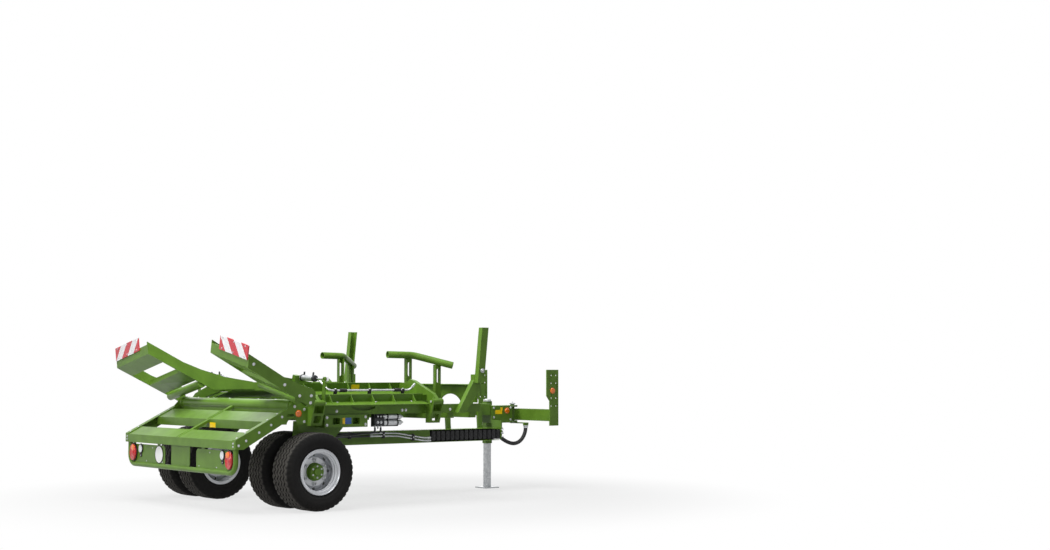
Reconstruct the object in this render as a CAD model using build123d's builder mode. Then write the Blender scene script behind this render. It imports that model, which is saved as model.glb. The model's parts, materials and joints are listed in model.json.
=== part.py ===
from build123d import *
from math import cos, radians, sin, tan

# Bale collector: a low four-wheeled trailer with a folding deck and ramps, in millimetres.
# +X is the way it travels, +Y its left side and +Z up.
# The origin is on the ground under the middle of its box.
# Every x below is measured from the axle, and every piece is drawn on the right side, where y is negative.

# Overall reach from the axle
REAR_REACH = 850.0
FRONT_REACH = 3620.0
AXLE_X = (REAR_REACH - FRONT_REACH) / 2

# Wheels
WHEEL_R = 382.5
TYRE_WIDTH = 330.0
TREAD_WIDTH = 256.0
TWIN_Y = 995.5
TWIN_SPREAD = 236.5
BEAD_R = 205.0
RIM_LIP_R = 225.0
RIM_HALF = 138.0
RIM_WALL = 9.0
DISC_OFFSET = 15.0
HUB_R = 90.0
HUB_REACH = 66.0
HUB_FLANGE_R = 138.0
SHAFT_R = 40.0
RUNNING_FIT = 0.06

# Frame: its heights follow the tyres, with room above them
TYRE_CLEAR = 40.0
GUARD_HEIGHT = 125.0
SIDE_HEIGHT = 90.0
CROSS_RISE = 40.0
CROSS_DEPTH = 100.0
CROSS_LENGTH = 80.0
DECK_HEIGHT = 95.0
GUARD_BOTTOM = 2 * WHEEL_R + TYRE_CLEAR
SIDE_BOTTOM = GUARD_BOTTOM + GUARD_HEIGHT
SIDE_TOP = SIDE_BOTTOM + SIDE_HEIGHT
CROSS_TOP = SIDE_BOTTOM + CROSS_RISE
DECK_TOP = CROSS_TOP + DECK_HEIGHT
SIDE_INNER_Y = 1100.0
SIDE_OUTER_Y = 1180.0
SIDE_FRONT = 2100.0
DECK_REAR = -100.0
SHEET = 8.0
PLATE = 12.0
CARRIER_WIDTH = 100.0

# Hitch and drawbar head, back from the front reach
HITCH_SETBACK = 140.0
HEAD_LENGTH = 390.0
HEAD_GAP = 10.0
PIVOT_X = FRONT_REACH - HITCH_SETBACK
HEAD_REAR = PIVOT_X - HEAD_LENGTH

# Spine
SPINE_WIDTH = 200.0
SPINE_HEIGHT = 130.0
SPINE_DROP = 8.0
SPINE_Z = SIDE_BOTTOM - SPINE_DROP
SPINE_WALL = 10.0
SPINE_REAR = 300.0
SPINE_FRONT = HEAD_REAR - HEAD_GAP
SLIDE_GAP = 0.3

# Wing hinges
HINGE_RISE = 30.0
HINGE_Y = 1290.0
HINGE_Z = SIDE_TOP + HINGE_RISE
FOLD_SLOPE = 11.35
REAR_HINGE_X = 20.0
FRONT_HINGE_X = 1450.0
BRACKET_WIDTH = 130.0
HINGE_PIN_R = 16.0
HINGE_LUG_R = 30.0
HINGE_GAP = 0.3
ARM_THICKNESS = 40.0

# Ramps
RAMP_DROP = 230.0
RAMP_REAR = -835.0
RAMP_LOW = SIDE_BOTTOM - RAMP_DROP
RAMP_SLOPE = 27.0
RAMP_LIP = 83.0
HEAD_RISE = 5.0
HEAD_X = -170.0
HEAD_Z = SIDE_TOP + HEAD_RISE
HEAD_R = 55.0

# Drawbar, hitch and jack
PIVOT_R = 25.0
FORK_WIDTH = 220.0
FORK_RISE = 43.0
FORK_HEIGHT = 200.0
FORK_PLATE = 20.0
FORK_TOP = SPINE_Z + FORK_RISE
FORK_BOTTOM = FORK_TOP - FORK_HEIGHT
BEAM_CLEAR_LOW = 5.0
BEAM_CLEAR_HIGH = 20.0
BEAM_BOTTOM = FORK_BOTTOM + FORK_PLATE + BEAM_CLEAR_LOW
BEAM_TOP = FORK_TOP - FORK_PLATE - BEAM_CLEAR_HIGH
HITCH_Y = 660.0
HITCH_PLATE = 16.0
JACK_SETBACK = 140.0
JACK_X = HEAD_REAR + JACK_SETBACK
JACK_Y = 160.0
JACK_TUBE = 80.0
JACK_LEG = 64.0
JACK_RISE = 45.0
JACK_TOP = FORK_TOP + JACK_RISE
JACK_SLEEVE_DROP = 245.0
JACK_SLEEVE_BOTTOM = FORK_BOTTOM - JACK_SLEEVE_DROP
FOOT_PLATE = 15.0

# Hose chain
CHAIN_Y = -215.0
CHAIN_WIDTH = 120.0
CHAIN_DROP = 330.0
CHAIN_BOTTOM = SPINE_Z - CHAIN_DROP
CHAIN_HEIGHT = 108.0
CHAIN_PITCH = 65.0
CHAIN_LINKS = 15
CHAIN_FRONT = HEAD_REAR - HEAD_GAP / 2
CHAIN_REAR = CHAIN_FRONT - CHAIN_LINKS * CHAIN_PITCH
TRAY_GAP = 10.0
TRAY_REAR = 400.0
TRAY_SHEET = 6.0

AXLE = Plane(origin=(AXLE_X, 0, 0))
FOLD_SIN = sin(radians(FOLD_SLOPE))
FOLD_COS = cos(radians(FOLD_SLOPE))
WING = Plane(origin=(AXLE_X, -HINGE_Y, HINGE_Z), x_dir=(1, 0, 0), z_dir=(0, -FOLD_SIN, FOLD_COS))
SPIN_AXIS = Axis((AXLE_X, 0, WHEEL_R), (0, 1, 0))


def side(y):
    """Plane of an outline in x and z at y, which extrudes outward on the right side."""
    return Plane(origin=(AXLE_X, y, 0), x_dir=(1, 0, 0), z_dir=(0, -1, 0))


def cross(x):
    """Plane of an outline in y and z at x, which extrudes forward."""
    return Plane(origin=(AXLE_X + x, 0, 0), x_dir=(0, 1, 0), z_dir=(1, 0, 0))


def level(z):
    """Plane of an outline in x and y at z, which extrudes upward."""
    return Plane(origin=(AXLE_X, 0, z))


def wing_side(v):
    """Plane of an outline in x and w across the wing at v, which extrudes outward."""
    return Plane(origin=WING.from_local_coords((0, v, 0)), x_dir=(1, 0, 0), z_dir=-WING.y_dir)


def wing_cross(x):
    """Plane of an outline in v and w at x, which extrudes forward."""
    return Plane(origin=WING.from_local_coords((x, 0, 0)), x_dir=WING.y_dir, z_dir=(1, 0, 0))


def block(x, y, z):
    """Box over a range of x, of y and of z in the plane of the part that is open."""
    with Locations(((x[0] + x[1]) / 2, (y[0] + y[1]) / 2, (z[0] + z[1]) / 2)):
        Box(x[1] - x[0], y[1] - y[0], z[1] - z[0])


def plate(plane, points, thickness, mode=Mode.ADD):
    """Straight-edged plate on a plane."""
    with BuildSketch(plane) as outline:
        Polygon(*points, align=None)
    extrude(outline.sketch, amount=thickness, mode=mode)


def disc(plane, centre, radius, thickness, mode=Mode.ADD):
    """Round plate, boss or hole on a plane."""
    with BuildSketch(plane) as outline:
        with Locations(centre):
            Circle(radius)
    extrude(outline.sketch, amount=thickness, mode=mode)


def write(part, name):
    """Write one node."""
    part.label = name
    export_step(part, f"parts/{name}.step")


def write_sides(part, name):
    """Write a right-hand node and its mirror on the left."""
    write(part, f"{name}_right")
    write(mirror(part, about=Plane.XZ, mode=Mode.PRIVATE), f"{name}_left")


def both_sides():
    """Mirror the part that is open to the left side."""
    mirror(about=Plane.XZ)


# Twin wheels: two tyres and rims on one hub shaft, either side of the axle carrier
OUTER_Y = -(TWIN_Y + TWIN_SPREAD)
TWIN_PLANE = Plane(origin=(0, -TWIN_Y, 0), x_dir=(1, 0, 0), z_dir=(0, 1, 0))
SHOULDER_DROP = 32.0
SHOULDER_INSET = 8.0
BULGE_DROP = 82.5
TYRE_ROUND = 60.0
BEAD_INSET = 18.5
RIM_LIP = 8.0
DISC_SHEET = 10.0
DISC_FLAT_R = 142.0
DISC_RISE = 25.0
HAND_HOLES = 8
HAND_HOLE_R = 15.0
HAND_HOLE_CIRCLE = 168.0
RIM_INNER_R = BEAD_R - RIM_WALL

with BuildPart() as tyre_outer:
    with BuildSketch(cross(0)) as tyre_section:
        with Locations((OUTER_Y, WHEEL_R)):
            Polygon(
                (-TREAD_WIDTH / 2, WHEEL_R),
                (TREAD_WIDTH / 2, WHEEL_R),
                (TYRE_WIDTH / 2 - SHOULDER_INSET, WHEEL_R - SHOULDER_DROP),
                (TYRE_WIDTH / 2, WHEEL_R - BULGE_DROP),
                (RIM_HALF - BEAD_INSET, BEAD_R),
                (BEAD_INSET - RIM_HALF, BEAD_R),
                (-TYRE_WIDTH / 2, WHEEL_R - BULGE_DROP),
                (SHOULDER_INSET - TYRE_WIDTH / 2, WHEEL_R - SHOULDER_DROP),
                align=None,
            )
        corner_rows = tyre_section.vertices().group_by(Axis.Y)
        fillet(corner_rows[1] + corner_rows[2], TYRE_ROUND)
    revolve(axis=SPIN_AXIS)

with BuildPart() as rim_outer:
    with BuildSketch(cross(0)):
        with Locations((OUTER_Y, WHEEL_R)):
            Polygon(
                (-RIM_HALF, RIM_LIP_R),
                (RIM_LIP - RIM_HALF, RIM_LIP_R),
                (RIM_LIP - RIM_HALF, BEAD_R),
                (RIM_HALF - RIM_LIP, BEAD_R),
                (RIM_HALF - RIM_LIP, RIM_LIP_R),
                (RIM_HALF, RIM_LIP_R),
                (RIM_HALF, RIM_INNER_R),
                (-RIM_HALF, RIM_INNER_R),
                align=None,
            )
            Polygon(
                (-DISC_OFFSET - DISC_SHEET, HUB_R),
                (-DISC_OFFSET - DISC_SHEET, DISC_FLAT_R),
                (-DISC_OFFSET + DISC_RISE, RIM_INNER_R),
                (-DISC_OFFSET + DISC_RISE + DISC_SHEET, RIM_INNER_R),
                (-DISC_OFFSET, DISC_FLAT_R),
                (-DISC_OFFSET, HUB_R),
                align=None,
            )
    revolve(axis=SPIN_AXIS)
    with BuildSketch(side(OUTER_Y + RIM_HALF)):
        with Locations((0, WHEEL_R)):
            with PolarLocations(HAND_HOLE_CIRCLE, HAND_HOLES):
                Circle(HAND_HOLE_R)
    extrude(amount=2 * RIM_HALF, mode=Mode.SUBTRACT)

write_sides(tyre_outer.part, "tyre_outer")
write_sides(mirror(tyre_outer.part, about=TWIN_PLANE, mode=Mode.PRIVATE), "tyre_inner")

with BuildPart() as rims:
    add(rim_outer.part)
    mirror(about=TWIN_PLANE)
write_sides(rims.part, "rims")

DISC_FACE = TWIN_SPREAD + DISC_OFFSET
HUB_STEP = 6.0
HUB_BEVEL = 18.0
FLANGE_SHEET = 14.0
DRUM_GAP = 20.0
DRUM_END = -CARRIER_WIDTH / 2 - DRUM_GAP
with BuildPart() as hub:
    with BuildSketch(cross(0)):
        with Locations((-TWIN_Y, WHEEL_R)):
            Polygon(
                (-DISC_FACE - HUB_REACH, 0),
                (-DISC_FACE - HUB_REACH, HUB_R - HUB_BEVEL),
                (-DISC_FACE - HUB_REACH + HUB_BEVEL, HUB_R - HUB_STEP),
                (-DISC_FACE - DISC_SHEET, HUB_R - HUB_STEP),
                (-DISC_FACE - DISC_SHEET, HUB_R),
                (-DISC_FACE, HUB_R),
                (-DISC_FACE, HUB_FLANGE_R),
                (-DISC_FACE + FLANGE_SHEET, HUB_FLANGE_R),
                (-DISC_FACE + FLANGE_SHEET, HUB_R),
                (DRUM_END, HUB_R),
                (DRUM_END, SHAFT_R),
                (0, SHAFT_R),
                (0, 0),
                align=None,
            )
    revolve(axis=SPIN_AXIS)
    mirror(about=TWIN_PLANE)
write_sides(hub.part, "hub")

# Axle carriers: an arm between the twin tyres, down from the frame to the hub shaft
CARRIER_TOP = CROSS_TOP - CROSS_DEPTH
CARRIER_REAR = -60.0
CARRIER_FRONT = 460.0
CARRIER_DEPTH = 75.0
CARRIER_BOSS_R = 88.0
CARRIER_NECK = 20.0
with BuildPart() as axle_carriers:
    with BuildSketch(side(-TWIN_Y + CARRIER_WIDTH / 2)):
        Polygon(
            (CARRIER_REAR, CARRIER_TOP),
            (CARRIER_FRONT, CARRIER_TOP),
            (CARRIER_FRONT, CARRIER_TOP - CARRIER_DEPTH),
            (CARRIER_BOSS_R - 3, WHEEL_R + CARRIER_NECK),
            (3 - CARRIER_BOSS_R, WHEEL_R + CARRIER_NECK),
            align=None,
        )
        with Locations((0, WHEEL_R)):
            Circle(CARRIER_BOSS_R)
            Circle(SHAFT_R + RUNNING_FIT, mode=Mode.SUBTRACT)
    extrude(amount=CARRIER_WIDTH)
    both_sides()
write(axle_carriers.part, "axle_carriers")

# Spine: the tube that the drawbar slides in
SPINE_TOP = SPINE_Z + SPINE_HEIGHT / 2
with BuildPart() as spine:
    with BuildSketch(cross(SPINE_REAR)):
        with Locations((0, SPINE_Z)):
            Rectangle(SPINE_WIDTH, SPINE_HEIGHT)
            Rectangle(SPINE_WIDTH - 2 * SPINE_WALL, SPINE_HEIGHT - 2 * SPINE_WALL, mode=Mode.SUBTRACT)
    extrude(amount=SPINE_FRONT - SPINE_REAR)
write(spine.part, "spine")

# Side beams, each with a half-moon recess in its outer face
SIDE_REAR = DECK_REAR + 40
RECESS_X = 620.0
RECESS_HALF = 145.0
RECESS_DROP = 38.0
RECESS_DEPTH = 30.0
RECESS_TOP = SIDE_TOP - 14
with BuildPart(AXLE) as side_beams:
    block((SIDE_REAR, SIDE_FRONT), (-SIDE_OUTER_Y, -SIDE_INNER_Y), (SIDE_BOTTOM, SIDE_TOP))
    with BuildSketch(side(-SIDE_OUTER_Y + RECESS_DEPTH)) as recess:
        with Locations((RECESS_X, RECESS_TOP)):
            Ellipse(RECESS_HALF, RECESS_DROP)
            Rectangle(2 * RECESS_HALF, RECESS_DROP, align=(Align.CENTER, Align.MIN), mode=Mode.SUBTRACT)
    extrude(recess.sketch, amount=RECESS_DEPTH, mode=Mode.SUBTRACT)
    both_sides()
write(side_beams.part, "side_beams")

# Cross beams: x of each beam's middle, and the y where it starts
SPINE_SIDE = SPINE_WIDTH / 2
CROSS_BEAMS = ((80, 0), (700, SPINE_SIDE), (1520, SPINE_SIDE), (1770, SPINE_SIDE), (2060, SPINE_SIDE))
with BuildPart(AXLE) as cross_beams:
    for beam_x, start_y in CROSS_BEAMS:
        block(
            (beam_x - CROSS_LENGTH / 2, beam_x + CROSS_LENGTH / 2),
            (-SIDE_INNER_Y, -start_y),
            (CROSS_TOP - CROSS_DEPTH, CROSS_TOP),
        )
    both_sides()
write(cross_beams.part, "cross_beams")

# Front cross member: a plate with arches and a folded top edge
FRONT_RISE = 256.0
FRONT_TOP = CROSS_TOP + FRONT_RISE
FRONT_X = SIDE_FRONT - CROSS_LENGTH / 2
FRONT_FOLD = 60.0
FRONT_NOTCH = CROSS_TOP + 60
ARCH_WIDTH = 420.0
ARCH_HEIGHT = 150.0
ARCH_SPACING = 700.0
with BuildPart() as front_member:
    with BuildSketch(cross(FRONT_X - PLATE / 2)):
        Polygon(
            (-SIDE_OUTER_Y, FRONT_NOTCH),
            (-SIDE_OUTER_Y, FRONT_TOP),
            (SIDE_OUTER_Y, FRONT_TOP),
            (SIDE_OUTER_Y, FRONT_NOTCH),
            (SIDE_INNER_Y, FRONT_NOTCH),
            (SIDE_INNER_Y, CROSS_TOP),
            (-SIDE_INNER_Y, CROSS_TOP),
            (-SIDE_INNER_Y, FRONT_NOTCH),
            align=None,
        )
        with Locations((-ARCH_SPACING, CROSS_TOP), (0, CROSS_TOP), (ARCH_SPACING, CROSS_TOP)):
            Ellipse(ARCH_WIDTH / 2, ARCH_HEIGHT, mode=Mode.SUBTRACT)
    extrude(amount=PLATE)
    with BuildSketch(level(FRONT_TOP - PLATE)):
        with Locations((FRONT_X - FRONT_FOLD / 2, 0)):
            Rectangle(FRONT_FOLD, 2 * SIDE_OUTER_Y)
    extrude(amount=PLATE)
write(front_member.part, "front_member")

# Deck slats: inner and outer y of each channel, and its front end
DECK_SLATS = ((180, 400, 2040), (730, 900, 1475))
with BuildPart(AXLE) as deck_slats:
    for inner_y, outer_y, front_x in DECK_SLATS:
        block((DECK_REAR, front_x), (-outer_y, -inner_y), (DECK_TOP - SHEET, DECK_TOP))
        for web_y in (inner_y, outer_y - SHEET):
            block((DECK_REAR, front_x), (-web_y - SHEET, -web_y), (CROSS_TOP, DECK_TOP - SHEET))
    both_sides()
write(deck_slats.part, "deck_slats")

# Guard boxes under the side beams, with two windows in the outer face
GUARD_REAR = 150.0
GUARD_FRONT = 655.0
GUARD_OUTER_Y = 1200.0
GUARD_INNER_Y = TWIN_Y + CARRIER_WIDTH / 2
GUARD_MIDDLE = (GUARD_BOTTOM + SIDE_BOTTOM) / 2
WINDOW = (85.0, 62.0)
WINDOW_INSET = 135.0
WINDOW_DEPTH = 70.0
with BuildPart(AXLE) as guard_boxes:
    block((GUARD_REAR, GUARD_FRONT), (-GUARD_OUTER_Y, -GUARD_INNER_Y), (GUARD_BOTTOM, SIDE_BOTTOM))
    with BuildSketch(side(-GUARD_OUTER_Y + WINDOW_DEPTH)):
        with Locations((GUARD_REAR + WINDOW_INSET, GUARD_MIDDLE), (GUARD_FRONT - WINDOW_INSET, GUARD_MIDDLE)):
            RectangleRounded(*WINDOW, 10)
    extrude(amount=WINDOW_DEPTH, mode=Mode.SUBTRACT)
    both_sides()
write(guard_boxes.part, "guard_boxes")

# Wing hinge brackets: two cheeks, a sloping face with a window, the hinge pin and the fold cylinder's ear.
# The rod's eye and its pin ride on the wing, clear of the ear, because the linkage is open there.
ROD_R = 14.0
EAR_CLEAR = 5.0
EAR_R = 24.0
CYLINDER_X = REAR_HINGE_X + BRACKET_WIDTH / 2 + EAR_CLEAR + ROD_R
EYE_V = 36.0
EYE_W = 232.0
EYE_PIN_R = 12.0
EAR_Y = HINGE_Y - EYE_V * FOLD_COS + EYE_W * FOLD_SIN
EAR_Z = HINGE_Z + EYE_V * FOLD_SIN + EYE_W * FOLD_COS
BRACKET_DROP = 100.0
BRACKET_BOTTOM = SIDE_BOTTOM - BRACKET_DROP
BRACKET_FOOT_Y = 1250.0
FACE_RISE = 20.0
FACE_TOP = SIDE_BOTTOM + FACE_RISE
with BuildPart() as hinge_brackets:
    for hinge_x in (REAR_HINGE_X, FRONT_HINGE_X):
        for cheek_x in (hinge_x - BRACKET_WIDTH / 2, hinge_x + BRACKET_WIDTH / 2 - PLATE):
            with BuildSketch(cross(cheek_x)):
                Polygon(
                    (-SIDE_OUTER_Y, BRACKET_BOTTOM),
                    (-BRACKET_FOOT_Y, BRACKET_BOTTOM),
                    (-HINGE_Y - HINGE_LUG_R, HINGE_Z - 12),
                    (-HINGE_Y + 24, HINGE_Z + 20),
                    (-SIDE_OUTER_Y, SIDE_TOP - 10),
                    align=None,
                )
                with Locations((-HINGE_Y, HINGE_Z)):
                    Circle(HINGE_LUG_R + 2)
            extrude(amount=PLATE)
        disc(cross(hinge_x - BRACKET_WIDTH / 2 - 10), (-HINGE_Y, HINGE_Z), HINGE_PIN_R, BRACKET_WIDTH + 20)
        plate(
            cross(hinge_x - BRACKET_WIDTH / 2),
            (
                (-BRACKET_FOOT_Y, BRACKET_BOTTOM),
                (-BRACKET_FOOT_Y - 40, FACE_TOP),
                (-BRACKET_FOOT_Y - 40 + PLATE, FACE_TOP),
                (-BRACKET_FOOT_Y + PLATE, BRACKET_BOTTOM),
            ),
            BRACKET_WIDTH,
        )
        with BuildSketch(side(-SIDE_OUTER_Y - 40)):
            with Locations((hinge_x, (BRACKET_BOTTOM + FACE_TOP) / 2)):
                RectangleRounded(BRACKET_WIDTH - 50, 70, 8)
        extrude(amount=80, mode=Mode.SUBTRACT)
    with BuildSketch(cross(REAR_HINGE_X + BRACKET_WIDTH / 2 - PLATE)):
        Polygon(
            (-HINGE_Y - 20, HINGE_Z),
            (-EAR_Y - EAR_R, EAR_Z),
            (-EAR_Y + EAR_R, EAR_Z),
            (-HINGE_Y + 28, HINGE_Z),
            align=None,
        )
        with Locations((-EAR_Y, EAR_Z)):
            Circle(EAR_R)
            Circle(EYE_PIN_R, mode=Mode.SUBTRACT)
    extrude(amount=PLATE)
    both_sides()
write(hinge_brackets.part, "hinge_brackets")

# Rear side plates: the ramp's side arm and the plate behind the hinge in one outline, with a flange
RAMP_RISE = tan(radians(RAMP_SLOPE))
SIDE_PLATE_FRONT = REAR_HINGE_X - BRACKET_WIDTH / 2 - 2
SIDE_PLATE_BOTTOM = SIDE_BOTTOM - 85
ARM_HEEL = 90.0
ARM_KNEE = -330.0
ARM_BEND = -290.0
CREST_REAR = -215.0
CREST_FRONT = -125.0
CREST_TOP = HEAD_Z + 30
SLOT_PLACE = (-235.0, SIDE_BOTTOM + 5)
NOTCH_R = 62.0
FLANGE_WIDTH = 55.0
FLANGE_RISE = 9.0


def ramp_z(x):
    """Height of the centre ramp's face at x."""
    return RAMP_LOW + (x - RAMP_REAR) * RAMP_RISE


with BuildPart() as side_plates:
    with BuildSketch(side(-SIDE_OUTER_Y)) as side_outline:
        Polygon(
            (RAMP_REAR, RAMP_LOW),
            (RAMP_REAR, RAMP_LOW - RAMP_LIP),
            (RAMP_REAR + ARM_HEEL, RAMP_LOW - RAMP_LIP),
            (ARM_KNEE, SIDE_PLATE_BOTTOM),
            (SIDE_PLATE_FRONT, SIDE_PLATE_BOTTOM),
            (SIDE_PLATE_FRONT, SIDE_TOP - 10),
            (CREST_FRONT, CREST_TOP),
            (CREST_REAR, CREST_TOP),
            (ARM_BEND, ramp_z(ARM_BEND)),
            align=None,
        )
        with Locations((CREST_REAR, SIDE_PLATE_BOTTOM - 7)):
            Circle(NOTCH_R, mode=Mode.SUBTRACT)
        with Locations(SLOT_PLACE):
            SlotOverall(90, 24, mode=Mode.SUBTRACT)
    extrude(side_outline.sketch, amount=PLATE)
    plate(
        side(-SIDE_OUTER_Y + FLANGE_WIDTH),
        (
            (RAMP_REAR, ramp_z(RAMP_REAR)),
            (ARM_BEND, ramp_z(ARM_BEND)),
            (ARM_BEND, ramp_z(ARM_BEND) + FLANGE_RISE),
            (RAMP_REAR, ramp_z(RAMP_REAR) + FLANGE_RISE),
        ),
        FLANGE_WIDTH + PLATE,
    )
    both_sides()
write(side_plates.part, "side_plates")

# Centre ramp: x at the rear edge and length of each slat, which has a lip down its rear edge.
# A plate covers the head tube's front and a strip hangs under its rear.
RAMP_SLATS = ((RAMP_REAR, 150.0), (-490.0, 165.0))
SLAT_DEPTH = 9.0
RIB_WIDTH = 45.0
RIB_DEPTH = 30.0
COVER_FRONT = -60.0
STRIP_X = -208.0
STRIP_DROP = 90.0


def ramp_under(x):
    """Height of a centre ramp slat's underside at x."""
    return ramp_z(x) - SLAT_DEPTH


with BuildPart(AXLE) as ramp_slats:
    for rear_x, length in RAMP_SLATS:
        plate(
            side(SIDE_OUTER_Y),
            (
                (rear_x, ramp_z(rear_x)),
                (rear_x + length, ramp_z(rear_x + length)),
                (rear_x + length, ramp_under(rear_x + length)),
                (rear_x + SHEET, ramp_under(rear_x + SHEET)),
                (rear_x + SHEET, ramp_z(rear_x) - RAMP_LIP),
                (rear_x, ramp_z(rear_x) - RAMP_LIP),
            ),
            2 * SIDE_OUTER_Y,
        )
    plate(
        side(RIB_WIDTH / 2),
        (
            (RAMP_REAR, ramp_z(RAMP_REAR)),
            (HEAD_X, ramp_z(HEAD_X)),
            (HEAD_X, ramp_z(HEAD_X) - RIB_DEPTH),
            (RAMP_REAR, ramp_z(RAMP_REAR) - RIB_DEPTH),
        ),
        RIB_WIDTH,
    )
    disc(side(SIDE_OUTER_Y), (HEAD_X, HEAD_Z), HEAD_R, 2 * SIDE_OUTER_Y)
    block(
        (HEAD_X, COVER_FRONT),
        (-SIDE_INNER_Y, SIDE_INNER_Y),
        (HEAD_Z + HEAD_R - SHEET, HEAD_Z + HEAD_R),
    )
    block(
        (STRIP_X, STRIP_X + SHEET),
        (-SIDE_INNER_Y, SIDE_INNER_Y),
        (HEAD_Z - STRIP_DROP, HEAD_Z),
    )
write(ramp_slats.part, "ramp_slats")

# Lamp bar: a bent bumper tube, two lamp panels on hangers and a plate between them
BUMPER_R = 25.0
BUMPER_X = -800.0
BUMPER_DROP = 312.0
BUMPER_Z = RAMP_LOW - BUMPER_DROP
BUMPER_Y = 1140.0
BUMPER_BEND = 110.0
BUMPER_TOP = ramp_under(BUMPER_X - BUMPER_R) - 5
PANEL_GAP = 17.0
PANEL_TOP = RAMP_LOW - RAMP_LIP - PANEL_GAP
PANEL_BOTTOM = BUMPER_Z + BUMPER_R / 2
PANEL_SHEET = 6.0
PANEL_ROUND = 40.0
CENTRE_TOP = ramp_z(BUMPER_X) - RIB_DEPTH
HANGER_WIDTH = 60.0
# Panels: y at the middle, width and top edge
PANELS = ((-735.0, 790.0, PANEL_TOP), (0.0, 400.0, CENTRE_TOP), (735.0, 790.0, PANEL_TOP))
HANGER_PLACES = (-1050.0, -480.0, 480.0, 1050.0)
with BuildPart() as lamp_bar:
    with BuildLine(cross(BUMPER_X)) as bumper_path:
        FilletPolyline(
            (-BUMPER_Y, BUMPER_TOP),
            (-BUMPER_Y, BUMPER_Z),
            (BUMPER_Y, BUMPER_Z),
            (BUMPER_Y, BUMPER_TOP),
            radius=BUMPER_BEND,
        )
    with BuildSketch(Plane(origin=bumper_path.line @ 0, z_dir=bumper_path.line % 0)):
        Circle(BUMPER_R)
    sweep(path=bumper_path.line)
    with BuildSketch(cross(BUMPER_X)) as panel_outline:
        for panel_y, width, top in PANELS:
            with Locations((panel_y, (top + PANEL_BOTTOM) / 2)):
                RectangleRounded(width, top - PANEL_BOTTOM, PANEL_ROUND)
    extrude(panel_outline.sketch, amount=PANEL_SHEET)
    for hanger_y in HANGER_PLACES:
        plate(
            side(hanger_y + HANGER_WIDTH / 2),
            (
                (BUMPER_X, PANEL_TOP - PANEL_ROUND),
                (BUMPER_X + PANEL_SHEET, PANEL_TOP - PANEL_ROUND),
                (BUMPER_X + PANEL_SHEET, ramp_under(BUMPER_X + PANEL_SHEET)),
                (BUMPER_X, ramp_under(BUMPER_X)),
            ),
            HANGER_WIDTH,
        )
write(lamp_bar.part, "lamp_bar")

# Lamps on the panels: y, height above the bumper tube, width, height and depth
LAMP_Y, LAMP_RISE, LAMP_WIDTH, LAMP_HEIGHT, LAMP_DEPTH = 1040.0, 124.0, 140.0, 187.0, 34.0
MARKER_Y, MARKER_RISE, MARKER_WIDTH, MARKER_HEIGHT, MARKER_DEPTH = 885.0, 165.0, 70.0, 82.0, 14.0
DISC_Y, DISC_UP, DISC_R, DISC_DEPTH = 465.0, 119.0, 90.0, 5.0
with BuildPart() as tail_lamps:
    with BuildSketch(cross(BUMPER_X - LAMP_DEPTH)):
        with Locations((-LAMP_Y, BUMPER_Z + LAMP_RISE)):
            Ellipse(LAMP_WIDTH / 2, LAMP_HEIGHT / 2)
    extrude(amount=LAMP_DEPTH)
    both_sides()
write(tail_lamps.part, "tail_lamps")

with BuildPart() as marker_reflectors:
    with BuildSketch(cross(BUMPER_X - MARKER_DEPTH)):
        with Locations((-MARKER_Y, BUMPER_Z + MARKER_RISE)):
            Ellipse(MARKER_WIDTH / 2, MARKER_HEIGHT / 2)
    extrude(amount=MARKER_DEPTH)
    both_sides()
write(marker_reflectors.part, "marker_reflectors")

with BuildPart() as speed_disc:
    disc(cross(BUMPER_X - DISC_DEPTH), (DISC_Y, BUMPER_Z + DISC_UP), DISC_R, DISC_DEPTH)
write(speed_disc.part, "speed_disc")

# Side posts: leaning channels, closed on the outside, on braces that rise from the side beams
POST_HEIGHT = 806.0
POST_TOP = SIDE_TOP + POST_HEIGHT
POST_FOOT = SIDE_TOP + 220
POST_REAR = 1970.0
POST_WIDTH = 85.0
POST_LEAN = 60.0
POST_OUTER_Y = 1305.0
BRACE_WIDTH = 62.0
BRACE_HEAD = 90.0
BRACE_FOOT_X = 1760.0
BRACE_DEPTH = 100.0
BRACE_NECK = POST_FOOT + 30
POST_FRONT = POST_REAR + POST_WIDTH
POST_INNER_Y = SIDE_OUTER_Y + BRACE_WIDTH


def post_strip(rear_x, width, inner_y, thickness):
    """Leaning upright strip of a side post, from its foot to its top."""
    plate(
        side(-inner_y),
        (
            (rear_x, POST_FOOT),
            (rear_x + width, POST_FOOT),
            (rear_x + width + POST_LEAN, POST_TOP),
            (rear_x + POST_LEAN, POST_TOP),
        ),
        thickness,
    )


with BuildPart() as side_posts:
    plate(
        side(-SIDE_OUTER_Y),
        (
            (BRACE_FOOT_X, SIDE_BOTTOM),
            (BRACE_FOOT_X + BRACE_DEPTH, SIDE_BOTTOM),
            (POST_FRONT, BRACE_NECK - BRACE_DEPTH),
            (POST_FRONT, POST_FOOT + BRACE_HEAD),
            (POST_REAR, POST_FOOT + BRACE_HEAD),
            (POST_REAR, BRACE_NECK),
        ),
        BRACE_WIDTH,
    )
    post_strip(POST_REAR, POST_WIDTH, POST_OUTER_Y - SHEET, SHEET)
    for flange_x in (POST_REAR, POST_FRONT - SHEET):
        post_strip(flange_x, SHEET, POST_INNER_Y, POST_OUTER_Y - SHEET - POST_INNER_Y)
    both_sides()
write(side_posts.part, "side_posts")

# Bale guides: a bent tube with open ends on two slotted posts, with heights above the deck
GUIDE_R = 37.5
GUIDE_BORE_R = 31.0
GUIDE_BORE_DEPTH = 90.0
GUIDE_BEND = 160.0
GUIDE_POINTS = ((1265, -650, 475), (1565, -690, 469), (1890, -970, 359))
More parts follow.
